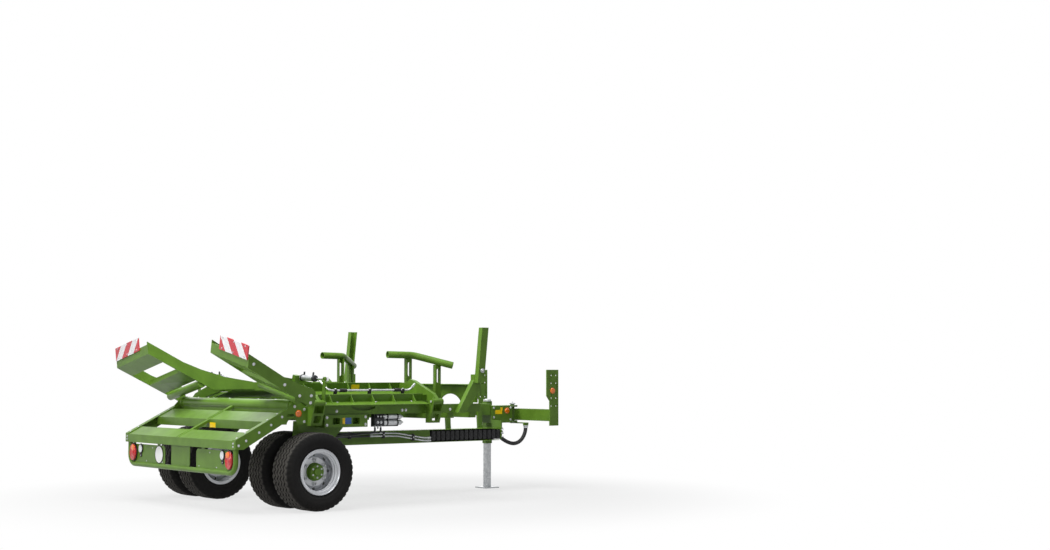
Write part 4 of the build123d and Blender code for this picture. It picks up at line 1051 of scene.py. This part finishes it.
@dataclass
class Wing(Assembly):
    """Bolts, welds, pipe ends and fold cylinder details of one folded wing.

    Attributes:
        side: Side of the machine.
        gusset_slats: Inner v, web height, and the x range of the gussets of each slat.
        gussets: Gussets of a slat.
        pipe: v and w of the upper pipe.
    """

    side: Side = Side.RIGHT
    gusset_slats: tuple[tuple[float, float, float, float], ...] = (
        (0.170, 0.052, 0.110, 1.375),
        (0.684, 0.062, 0.110, 1.430),
    )
    gussets: int = 5
    pipe: tuple[float, float] = (0.235, 0.075)

    @property
    def body(self) -> str:
        """CAD body of the wing."""
        return f"wing_{self.side.label}"

    @property
    def across(self) -> Vector:
        """Direction of the width of a pad that rises away from the wing."""
        return self.way(1, 0, 0) * -self.side.value

    def on(self, x: float, v: float, w: float) -> Vector:
        """Find a point of the folded wing.

        Args:
            x: Distance ahead of the axle.
            v: Distance inward from the hinge, along the wing.
            w: Height over the hinge, square to the wing.

        Returns:
            The point of the frame.
        """
        rise, run = math.sin(FOLD_SLOPE), math.cos(FOLD_SLOPE)
        y = HINGE_Y - v * run + w * rise
        return self.at(x, self.side.value * y, HINGE_Z + v * rise + w * run)

    def way(self, x: float, v: float, w: float) -> Vector:
        """Direction in the folded wing."""
        return self.on(x, v, w) - self.on(0, 0, 0)

    def bolts(self) -> None:
        """Set the bolts of the board, the outer side plate and the slats."""
        piece = Piece(f"wing_bolts_{self.side.label}", ZINC, self.body)
        for v in (0.01, 0.233, 0.456):
            for w in (0.455, 0.558):
                piece.bolt(self.on(-0.850, v, w), REARWARD, 0.008)
        for x, w in ((-0.24, 0.09), (-0.11, 0.09), (-0.11, 0.02), (-0.42, 0.2), (-0.78, 0.40)):
            piece.bolt(self.on(x, -0.061, w), self.way(0, -1, 0), 0.015)
        for x in (0.30, 0.76, 1.20):
            for v in (0.14, 0.33):
                piece.button(self.on(x + 0.03, v, -0.025), self.way(0, 0, 1), 0.011)
        piece.done()

    def welds(self) -> None:
        """Run weld beads along the gussets and the arms' hinge ends."""
        piece = Piece(f"wing_welds_{self.side.label}", GREEN, self.body)
        for inner_v, web_w, rear_x, front_x in self.gusset_slats:
            for index in range(self.gussets):
                x = rear_x + (index + 0.5) * (front_x - rear_x) / self.gussets
                foot, top = self.on(x, inner_v - 0.009, -0.024), self.on(x, inner_v - 0.009, web_w - 0.010)
                piece.weld(foot, top)
                piece.weld(self.on(x, inner_v - 0.012, -0.025), self.on(x, inner_v - 0.080, -0.025))
        for hinge_x in HINGE_PLACES:
            for ahead in (-0.021, 0.021):
                x = hinge_x + ahead
                piece.weld(self.on(x, 0.034, -0.02), self.on(x, 0.034, 0.04))
        piece.done()

    def pipes(self) -> None:
        """Lay the upper pipe on tall clips, with sleeves, an elbow and a bent end to the cylinder."""
        pipe = Piece(f"upper_pipe_{self.side.label}", ZINC, self.body)
        sleeves = Piece(f"pipe_sleeves_{self.side.label}", BLACK, self.body)
        v, w = self.pipe
        upward = self.way(0, 0, 1)
        # The line runs from the cylinder's port over the deck to the elbow at the front
        line = [(0.128, 0.431, 0.165), (0.200, 0.428, 0.164), (0.230, 0.415, 0.160)]
        line += [(0.245, 0.390, 0.150), (0.255, 0.280, 0.100), (0.265, 0.255, 0.087)]
        line += [(0.290, 0.240, 0.078), (0.330, v, w), (1.220, v, w), (1.245, v - 0.003, w + 0.004)]
        line += [(1.262, v - 0.010, w + 0.016), (1.270, v - 0.018, w + 0.034)]
        pipe.tube([self.on(*spot) for spot in line], 0.0105, 16)
        pipe.fitting(self.on(1.271, v - 0.019, w + 0.032), self.way(0.35, -0.35, 0.87), 0.014)
        rings = ((0, 0.0105), (0, 0.018), (0.012, 0.018), (0.015, 0.0155), (0.022, 0.0155), (0.025, 0.018))
        rings += ((0.08, 0.018), (0.08, 0.0105))
        for x, ahead in ((0.480, -1), (1.060, 1)):
            sleeves.lathe(rings, self.on(x, v, w), self.way(ahead, 0, 0), 20, closed=True)
        for x in (0.35, 0.76, 1.17):
            clip = (0.03, 0.036, 0.055)
            sleeves.pad(self.on(x, v, 0.034), self.across, self.way(0, 1, 0), clip, 0.008)
            pipe.bolt(self.on(x, v, 0.089), upward, 0.009)
            pipe.bolt(self.on(x, 0.19, 0.036), upward, 0.009)
        all_done(pipe, sleeves)

    def cylinder(self) -> None:
        """Set the gland, end ring and ports on the fold cylinder's barrel."""
        foot, eye = self.on(0.104, 0.510, 0.152), self.on(0.104, 0.036, 0.232)
        way = (eye - foot).normalized()
        upward = self.way(0, 0, 1)
        piece = Piece(f"cylinder_rings_{self.side.label}", IRON, self.body)
        gland = ((0, 0.0295), (0, 0.034), (0.016, 0.034), (0.02, 0.031), (0.03, 0.031))
        piece.lathe((*gland, (0.033, 0.026), (0.033, 0.0145)), foot + way * 0.246, way, 28)
        band = ((0, 0.0295), (0.003, 0.034), (0.017, 0.034), (0.02, 0.0295))
        piece.lathe(band, foot + way * 0.028, way, 28)
        for along in (0.055, 0.225):
            piece.fitting(foot + way * along + upward * 0.024, upward, 0.011)
        piece.done()

    def patch(self) -> None:
        """Set the blank yellow patch on the inner web."""
        piece = Piece(f"wing_patch_{self.side.label}", YELLOW, self.body)
        piece.patch(self.on(0.875, 0.676, 0.018), self.across, self.way(0, 0, 1), 0.1, 0.046)
        piece.done()

    def build(self) -> None:
        """Build the details of this wing."""
        self.bolts()
        self.welds()
        self.pipes()
        self.cylinder()
        self.patch()


@dataclass
class LampBar(Assembly):
    """Tail lamps, marker holders and the rim of the round disc at the rear.

    Attributes:
        face_x: Rear face of the lamp panels.
        lamp: y, z, half width and half height of a tail lamp.
        marker: y, z, half width and half height of a marker.
        disc: y, z and radius of the round disc.
    """

    face_x: float = -0.800
    lamp: tuple[float, float, float, float] = (1.040, 0.512, 0.070, 0.0935)
    marker: tuple[float, float, float, float] = (0.885, 0.553, 0.035, 0.041)
    disc: tuple[float, float, float] = (0.465, 0.507, 0.090)

    def tail_lamps(self) -> None:
        """Build oval lamps with a black base, a ribbed red lens and an amber window."""
        y, z, *size = self.lamp
        base = Piece("tail_lamp_bases", BLACK, "chassis")
        red = Piece("tail_lamp_lenses", RED_LENS, "chassis")
        amber = Piece("turn_lamp_lenses", AMBER, "chassis")
        rim = ((0, 0), (0, 1), (0.012, 1), (0.014, 0.97), (0.014, 0))
        lens = [(0.012, 0.94), (0.024, 0.94), (0.028, 0.91)]
        for step in range(12):
            share = 0.88 - step * 0.07
            lens += [(0.0325 - 0.004 * share, share + 0.02), (0.0335 - 0.004 * share, share)]
        lens.append((0.0325, 0))
        window = ((0.02, 1), (0.031, 1), (0.0335, 0.9), (0.0345, 0.6), (0.035, 0))
        for side in Side:
            seat = self.at(self.face_x, side.value * y, z)
            base.lathe(rim, seat, REARWARD, 48, size)
            red.lathe(lens, seat, REARWARD, 48, size)
            top = seat + UP * 0.048 - side.outward * 0.012
            amber.lathe(window, top, REARWARD, 32, (0.038, 0.031))
        all_done(red, amber)
        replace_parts(base.done(), "tail_lamps")

    def markers(self) -> None:
        """Set a black drop-shaped holder with screws behind each white marker."""
        y, z, *size = self.marker
        holder = Piece("marker_holders", BLACK, "chassis")
        screws = Piece("marker_screws", ZINC, "chassis")
        ring = ((0, 0.9), (0, 1.3), (0.007, 1.3), (0.011, 1.2), (0.011, 1.02), (0.006, 0.98), (0.006, 0.9))
        for side in Side:
            seat = self.at(self.face_x, side.value * y, z)
            holder.lathe(ring, seat, REARWARD, 40, size, closed=True)
            tail = seat - UP * 0.062
            holder.pad(tail, -LEFTWARD, UP, (0.044, 0.05, 0.007), 0.02)
            screws.button(tail - UP * 0.008 + REARWARD * 0.007, REARWARD, 0.006)
        all_done(holder, screws)

    def disc_rim(self) -> None:
        """Set a black edge on the blank round disc, and rivets on it and on the panels."""
        y, z, radius = self.disc
        edge = Piece("disc_edge", BLACK, "chassis")
        seat = self.at(self.face_x, y, z)
        outer, inner = radius + 0.001, radius - 0.005
        ring = ((0, outer), (0.0065, outer), (0.0065, inner), (0.0045, inner))
        edge.lathe(ring, seat, REARWARD, 64, closed=True)
        rivets = Piece("panel_rivets", ZINC, "chassis")
        for place in (-0.06, 0.06):
            rivets.button(seat + UP * place + REARWARD * 0.005, REARWARD, 0.005)
        for side in Side:
            for panel_y, panel_z in ((0.40, 0.43), (0.62, 0.57), (0.76, 0.43)):
                rivets.button(self.at(self.face_x, side.value * panel_y, panel_z), REARWARD, 0.007)
        all_done(edge, rivets)

    def build(self) -> None:
        """Build the lamps, the markers and the disc's rim."""
        self.tail_lamps()
        self.markers()
        self.disc_rim()


@dataclass
class Ramp(Assembly):
    """Bolts, collars, welds and a patch of the centre ramp.

    Attributes:
        low: x and z of the ramp's rear edge.
        slope: Slope of the ramp.
        edge_y: y of the bolts along the ramp's edges.
        rib_y: y of the seams beside the middle rib.
    """

    low: tuple[float, float] = (-0.835, 0.700)
    slope: float = math.radians(27.0)
    edge_y: float = 1.152
    rib_y: float = 0.024

    def face(self, x: float, y: float, lift: float = 0.0) -> Vector:
        """Point on the ramp's face."""
        return self.at(x, y, self.low[1] + (x - self.low[0]) * math.tan(self.slope) + lift)

    def build(self) -> None:
        """Build the details of the ramp."""
        up = Vector((-math.sin(self.slope), 0, math.cos(self.slope)))
        bolts = Piece("ramp_bolts", ZINC, "chassis")
        welds = Piece("ramp_welds", GREEN, "chassis")
        collars = Piece("head_collars", GREEN, "chassis")
        collar = ((0, 0.054), (0, 0.064), (0.018, 0.064), (0.02, 0.062), (0.02, 0.054))
        for side in Side:
            for x in (-0.80, -0.71, -0.47, -0.36):
                bolts.button(self.face(x, side.value * self.edge_y, 0.009), up, 0.011)
            for x, z in ((-0.80, 0.655), (-0.72, 0.70), (-0.58, 0.775), (-0.45, 0.845), (-0.33, 0.92)):
                bolts.bolt(self.at(x, side.value * SIDE_PLATE_Y, z), side.outward, 0.012)
            for z in (0.645, 0.675):
                bolts.bolt(self.at(self.low[0], side.value * 1.15, z), REARWARD, 0.010)
            seam_y = side.value * self.rib_y
            for rear, front in ((-0.835, -0.69), (-0.485, -0.33)):
                welds.weld(self.face(rear, seam_y, 0.001), self.face(front, seam_y, 0.001))
            place = self.at(-0.170, side.value * 1.11, 1.025)
            collars.lathe(collar, place, side.outward, 40, closed=True)
            for y in (0.3, 0.65, 1.0):
                bolts.button(self.at(-0.085, side.value * y, 1.080), UP, 0.010)
        patch = Piece("ramp_patch", YELLOW, "chassis")
        patch.patch(self.at(-0.490, -0.09, 0.818), -LEFTWARD, UP, 0.12, 0.05)
        all_done(bolts, welds, collars, patch)


@dataclass
class Chassis(Assembly):
    """Bolts, welds, reflectors and blank patches of the frame and its posts.

    Attributes:
        guard_y: Outer face of the guard boxes.
        deck_top: Height of the deck.
        beam_top: Height of the cross beams.
        seam_y: y of the seams on the side beams.
    """

    guard_y: float = 1.200
    deck_top: float = 1.065
    beam_top: float = 0.970
    seam_y: float = 1.183

    def bolts(self, side: Side) -> None:
        """Set the bolts of the plates, brackets, beams, deck and posts of one side.

        Args:
            side: Side of the machine.
        """
        piece = Piece(f"frame_bolts_{side.label}", ZINC, "chassis")
        # x from the axle, y of the seat and z of each bolt that points outward
        seats = [(-0.08, SIDE_PLATE_Y, 0.87), (-0.08, SIDE_PLATE_Y, 0.99), (-0.19, SIDE_PLATE_Y, 1.02)]
        seats += [(x, BEAM_Y, 0.965) for x in (0.30, 1.09, 1.135, 1.70)]
        seats += [(x, self.guard_y, z) for x in (0.175, 0.63) for z in (0.83, 0.905)]
        for x, y, z in seats:
            piece.bolt(self.at(x, side.value * y, z), side.outward, 0.014)
        for hinge_x in HINGE_PLACES:
            for ahead in (-1, 1):
                seat = self.at(hinge_x + ahead * 0.075, side.value * HINGE_Y, HINGE_Z)
                piece.bolt(seat, FORWARD * ahead, 0.012)
        heads = [(x, 0.29) for x in (0.08, 0.70, 1.52, 1.77)] + [(x, 0.815) for x in (0.08, 0.70)]
        for x, y in heads:
            piece.button(self.at(x, side.value * y, self.deck_top), UP, 0.012)
        for y in (0.42, 0.98):
            piece.bolt(self.at(2.054, side.value * y, 1.03), REARWARD, 0.014)
        piece.done()

    def posts(self, side: Side) -> None:
        """Set the lock pin of the side post and the feet of the bale guides.

        Args:
            side: Side of the machine.
        """
        pin = Piece(f"post_pin_{side.label}", ZINC, "chassis")
        seat = self.at(2.026, side.value * 1.305, 1.370)
        head = ((0, 0), (0, 0.021), (0.005, 0.021), (0.006, 0.012), (0.02, 0.012), (0.024, 0.008), (0.024, 0))
        pin.lathe(head, seat, side.outward, 24)
        hanger = seat + side.outward * 0.016
        pin.tube([hanger + FORWARD * 0.022 * x + UP * 0.022 * z for x, z in circle(24)], 0.0022, 8)
        feet = Piece(f"guide_feet_{side.label}", GREEN, "chassis")
        bolts = Piece(f"guide_bolts_{side.label}", ZINC, "chassis")
        for x, y in ((1.520, 0.684), (1.770, 0.866)):
            foot = self.at(x, side.value * (y - 0.018), self.beam_top)
            feet.pad(foot, FORWARD, LEFTWARD, (0.078, 0.13, 0.009), 0.012)
            for reach in (-0.05, 0.05):
                bolts.bolt(foot + Vector((0.0, reach, 0.009)), UP, 0.011)
            for edge in (-0.036, 0.036):
                bottom = self.at(x + edge, side.value * (y - 0.04), self.beam_top + 0.010)
                feet.weld(bottom, bottom + side.outward * 0.04)
        all_done(pin, feet, bolts)

    def welds(self, side: Side) -> None:
        """Run weld beads down the hinge brackets and around the post's brace.

        Args:
            side: Side of the machine.
        """
        piece = Piece(f"frame_welds_{side.label}", GREEN, "chassis")
        # x and y of each seam's foot, its z, and how far it runs forward and up
        hinges = [x + ahead for x in HINGE_PLACES for ahead in (-0.066, 0.066)]
        seams = [(x, self.seam_y, 0.935, 0.0, 0.07) for x in hinges]
        seams += [(1.762, self.seam_y, 0.935, 0.050, 0.081), (1.865, self.seam_y, 0.935, 0.060, 0.074)]
        seams += [(1.969, 1.244, 1.243, 0.0087, 0.085)]
        for x, y, z, ahead, rise in seams:
            start = self.at(x, side.value * y, z)
            piece.weld(start, start + FORWARD * ahead + UP * rise)
        piece.done()

    def markings(self, side: Side) -> None:
        """Set the amber reflector on the rear plate and the blank patches on the guard box.

        Args:
            side: Side of the machine.
        """
        lens = Piece(f"side_reflector_{side.label}", AMBER, "chassis")
        lens.lathe(REFLECTOR, self.at(-0.146, side.value * SIDE_PLATE_Y, 0.950), side.outward, 32)
        lens.done()
        across = FORWARD * -side.value
        for name, look, x, width in (("yellow", YELLOW, 0.372, 0.028), ("blue", BLUE, 0.424, 0.072)):
            piece = Piece(f"{name}_patch_{side.label}", look, "chassis")
            piece.patch(self.at(x, side.value * self.guard_y, 0.868), across, UP, width, 0.062)
            piece.done()

    def build(self) -> None:
        """Build the details of both sides."""
        for side in Side:
            self.bolts(side)
            self.posts(side)
            self.welds(side)
            self.markings(side)


@dataclass
class Hydraulics(Assembly):
    """Valve fittings, coils, accumulator ends and rigid pipes on the right side.

    Attributes:
        block_y: Outer face of the valve block.
        bottle_y: y of the accumulators' axes.
        bottle_rows: Heights of the accumulators' axes.
        tray_y: y of the pipes along the hose tray.
        tray_face: y of the tray's outer face, where the clamps sit.
        row_step: Height between the two pipes of the tray.
    """

    block_y: float = -1.168
    bottle_y: float = -1.140
    bottle_rows: tuple[float, float] = (0.840, 0.900)
    tray_y: float = -0.304
    tray_face: float = -0.291
    row_step: float = 0.030

    def valves(self) -> None:
        """Set coils and fittings on the valve block."""
        coils = Piece("valve_coils", BLACK, "chassis")
        fittings = Piece("valve_fittings", ZINC, "chassis")
        out = Side.RIGHT.outward
        nut = ((0.02, 0), (0.02, 0.009), (0.028, 0.009), (0.03, 0.007), (0.03, 0))
        for x in (0.785, 0.820, 0.855):
            seat = self.at(x, self.block_y, 0.905)
            coils.pad(seat, FORWARD, UP, (0.028, 0.040, 0.022), 0.005)
            fittings.lathe(nut, seat, out, 6)
            fittings.fitting(self.at(x, self.block_y + 0.03, 0.812), -UP, 0.010)
        for x in (0.80, 0.84):
            fittings.bolt(self.at(x, self.block_y, 0.845), out, 0.014)
        all_done(coils, fittings)

    def bottles(self) -> None:
        """Set end caps, gas valves and clamps on the accumulators."""
        caps = Piece("accumulator_caps", ZINC, "chassis")
        clamps = Piece("accumulator_clamps", BLACK, "chassis")
        cap = ((0, 0.0275), (0.006, 0.026), (0.014, 0.02), (0.016, 0.012), (0.024, 0.012), (0.026, 0.008))
        cap += ((0.036, 0.008), (0.036, 0))
        band = ((0, 0.0275), (0, 0.0305), (0.016, 0.0305), (0.016, 0.0275))
        for z in self.bottle_rows:
            caps.lathe(cap, self.at(1.090, self.bottle_y, z), FORWARD, 28)
            for x in (0.915, 1.040):
                clamps.lathe(band, self.at(x, self.bottle_y, z), FORWARD, 32, closed=True)
        all_done(caps, clamps)

    def pipes(self) -> None:
        """Lead two rigid pipes down to the hose tray, with clamps and fittings at their front ends."""
        pipes = Piece("tray_pipes", ZINC, "chassis")
        clamps = Piece("pipe_clamps", BLACK, "chassis")
        line = [(1.30, 0.665), (1.60, 0.660), (1.66, 0.655), (1.72, 0.645), (1.95, 0.605), (1.99, 0.600)]
        line += [(2.03, 0.598), (2.05, 0.598)]
        for row in (0, 1):
            spots = [self.at(x, self.tray_y, z + self.row_step * row) for x, z in line]
            pipes.tube(spots, 0.009)
            pipes.fitting(spots[-1] - FORWARD * 0.012, FORWARD, 0.0125)
            pipes.fitting(spots[0] + FORWARD * 0.012, REARWARD, 0.0125)
        for x, z in ((1.02, 0.680), (1.45, 0.677), (1.84, 0.639)):
            seat = self.at(x, self.tray_face, z)
            clamps.pad(seat, FORWARD, UP, (0.03, 0.075, 0.028), 0.008)
            pipes.bolt(seat - LEFTWARD * 0.028, Side.RIGHT.outward, 0.008)
        all_done(pipes, clamps)

    def feeds(self) -> None:
        """Lead two dark pipes from the valves under the deck and along the tray to its pipes."""
        piece = Piece("valve_pipes", IRON, "chassis")
        for x, z in ((0.785, 0.665), (0.855, 0.695)):
            line = [(x, -1.138, 0.79), (x, -1.138, 0.765), (x, -1.131, 0.748), (x, -1.113, 0.740)]
            line += [(x, -0.345, z + 0.006), (x + 0.007, -0.321, z), (x + 0.024, -0.308, z)]
            line += [(x + 0.05, self.tray_y, z), (1.285, self.tray_y, z)]
            piece.tube([self.at(*spot) for spot in line], 0.010, 14)
        piece.done()

    def build(self) -> None:
        """Build the hydraulics."""
        self.valves()
        self.bottles()
        self.pipes()
        self.feeds()


@dataclass
class Drawbar(Assembly):
    """Chain links, fittings, jack crank, hitch pin, reflectors and patches at the front.

    Attributes:
        chain_rear: x of the hose chain's rear end.
        chain_pitch: Length of a link.
        chain_links: Count of links.
        chain_y: Outer side of the chain.
        chain_z: Lowest and highest z of the chain.
        cheek_y: Outer side of the drawbar's head.
        hitch_x: x of the hitch pin.
        plate_y: Inner side of the hitch's upright plates.
        plate_face: Outer side of the hitch's upright plates.
    """

    chain_rear: float = 2.110
    chain_pitch: float = 0.065
    chain_links: int = 15
    chain_y: float = -0.275
    chain_z: tuple[float, float] = (0.592, 0.700)
    cheek_y: float = -0.110
    hitch_x: float = 3.480
    plate_y: float = 0.657
    plate_face: float = 0.676

    def chain(self) -> None:
        """Set pins, side ribs and cross bars on the links."""
        piece = Piece("chain_details", BLACK, "drawbar")
        low, high = self.chain_z
        boss = ((0, 0), (0, 0.017), (0.003, 0.017), (0.004, 0.014), (0.004, 0.008), (0.006, 0.007))
        boss += ((0.006, 0),)
        for link in range(self.chain_links):
            x = self.chain_rear + (link + 0.5) * self.chain_pitch
            piece.lathe(boss, self.at(x, self.chain_y, (low + high) / 2), Side.RIGHT.outward, 20)
            for z in (low + 0.017, high - 0.017):
                piece.pad(self.at(x, self.chain_y, z), FORWARD, UP, (0.046, 0.020, 0.005), 0.004)
            piece.pad(self.at(x, -0.215, low), FORWARD, -LEFTWARD, (0.022, 0.110, 0.004), 0.004)
        piece.done()

    def fittings(self) -> None:
        """Set fittings on the chain's bracket, and a collar at each end of the hose."""
        piece = Piece("bracket_fittings", ZINC, "drawbar")
        for z in (0.615, 0.655, 0.695):
            piece.fitting(self.at(3.094, -0.285, z), Side.RIGHT.outward, 0.0095)
        for z in (0.665, 0.705):
            piece.fitting(self.at(3.102, -0.235, z), FORWARD, 0.014)
        collar = ((0, 0.02), (0, 0.03), (0.012, 0.03), (0.014, 0.027), (0.03, 0.027), (0.032, 0.025))
        collar += ((0.032, 0.02),)
        piece.lathe(collar, self.at(3.103, -0.215, 0.622), Vector((0.84, 0, -0.54)), 28, closed=True)
        piece.lathe(collar, self.at(3.520, -0.200, 0.733), -UP, 28, closed=True)
        piece.done()

    def jack(self) -> None:
        """Set a gear cap and a crank with a turning grip on the jack's sleeve."""
        cap = Piece("jack_cap", ZINC, "drawbar")
        dome = ((0, 0), (0, 0.046), (0.016, 0.046), (0.024, 0.04), (0.03, 0.024), (0.032, 0.01), (0.032, 0))
        cap.lathe(dome, self.at(3.230, 0.160, 1.010), UP, 32)
        hub = self.at(3.230, 0.200, 0.960)
        out = Side.LEFT.outward
        boss = ((0, 0), (0, 0.020), (0.010, 0.020), (0.012, 0.012), (0.028, 0.012), (0.028, 0))
        cap.lathe(boss, hub, out, 24)
        # Way out and down of each point of the crank
        arm = ((0.012, 0), (0.030, 0), (0.038, 0.006), (0.042, 0.018), (0.044, 0.13), (0.048, 0.142))
        arm += ((0.06, 0.148), (0.150, 0.148))
        cap.tube([hub + out * reach - UP * drop for reach, drop in arm], 0.007)
        grip = Piece("jack_grip", BLACK, "drawbar")
        shape = ((0, 0.008), (0, 0.012), (0.006, 0.015), (0.04, 0.013), (0.074, 0.015), (0.08, 0.012))
        grip.lathe((*shape, (0.08, 0.008)), hub + out * 0.068 - UP * 0.148, out, 24, closed=True)
        all_done(cap, grip)

    def hitch(self) -> None:
        """Set the pin's head and washer, the bolts of the drawbar's head and the crosshead's welds."""
        piece = Piece("hitch_pin", ZINC, "drawbar")
        head = ((0, 0.024), (0, 0.036), (0.010, 0.036), (0.014, 0.032), (0.016, 0.012), (0.022, 0.006))
        head += ((0.026, 0.006), (0.030, 0.004), (0.030, 0))
        piece.lathe(head, self.at(self.hitch_x, 0, 0.977), UP, 28)
        washer = ((0, 0.0245), (0, 0.04), (0.006, 0.04), (0.006, 0.0245))
        piece.lathe(washer, self.at(self.hitch_x, 0, 0.7585), UP, 32, closed=True)
        welds = Piece("hitch_welds", GREEN, "crosshead")
        for side in Side:
            # The front bolts are on the right only
            places = [(3.118, 0.83), (3.118, 0.94)]
            if side is Side.RIGHT:
                places += [(3.365, 0.80), (3.365, 0.94)]
            for x, z in places:
                piece.bolt(self.at(x, side.value * abs(self.cheek_y), z), side.outward, 0.013)
            for z in (0.789, 0.926):
                start = self.at(3.530, side.value * self.plate_y, z)
                welds.weld(start, start + FORWARD * 0.07)
            for x in (3.519, 3.606):
                start = self.at(x, side.value * self.plate_y, 0.795)
                welds.weld(start, start + UP * 0.125)
        all_done(piece, welds)

    def markings(self) -> None:
        """Set the amber reflectors and the blank yellow patches."""
        lens = Piece("drawbar_reflectors", AMBER, "drawbar")
        plates = Piece("hitch_reflectors", AMBER, "crosshead")
        for side in Side:
            plates.lathe(REFLECTOR, self.at(3.530, side.value * self.plate_face, 1.140), side.outward, 32)
        lens.lathe(REFLECTOR, self.at(3.312, self.cheek_y, 0.905), Side.RIGHT.outward, 32)
        patches = Piece("drawbar_patches", YELLOW, "drawbar")
        for x, z, width, height in ((3.190, 0.890, 0.100, 0.046), (3.232, 0.928, 0.030, 0.030)):
            patches.patch(self.at(x, self.cheek_y, z), FORWARD, UP, width, height)
        all_done(lens, plates, patches)

    def build(self) -> None:
        """Build the details of the drawbar and the hitch."""
        self.chain()
        self.fittings()
        self.jack()
        self.hitch()
        self.markings()


def dress_nodes(nodes: dict[str, bpy.types.Object], slots: dict[str, str]) -> None:
    """Give every CAD node its finish and soft edges.

    Args:
        nodes: Objects of the frame by node.
        slots: Material slot of each node.
    """
    for name, made in nodes.items():
        look = NODE_FINISHES.get(slots[name])
        if look is None:
            look = STRIPES[Side.RIGHT if name.endswith("right") else Side.LEFT]
        made.data.materials.clear()
        made.data.materials.append(look.material())
        weld = made.modifiers.new("weld", "WELD")
        weld.merge_threshold = 0.00002
        bevel = made.modifiers.new("soft_edges", "BEVEL")
        bevel.width = 0.003
        bevel.segments = 2
        bevel.limit_method = "ANGLE"
        bevel.angle_limit = math.radians(40)


def main() -> None:
    """Build the classes in order."""
    logging.basicConfig(level=logging.INFO, format="%(message)s")
    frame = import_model()
    low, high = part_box("tyre_outer_right")
    axle_x = (low.x + high.x) / 2
    Studio().build()
    Hose(axle_x).build()
    slots = {entry["node"]: entry["material_slot"] for entry in frame["record"]["subparts"]}
    dress_nodes(frame["nodes"], slots)
    for side in Side:
        TwinWheels(side).build()
        Wing(axle_x, side).build()
    LampBar(axle_x).build()
    Ramp(axle_x).build()
    Chassis(axle_x).build()
    Hydraulics(axle_x).build()
    Drawbar(axle_x).build()


if __name__ == "__main__":
    main()
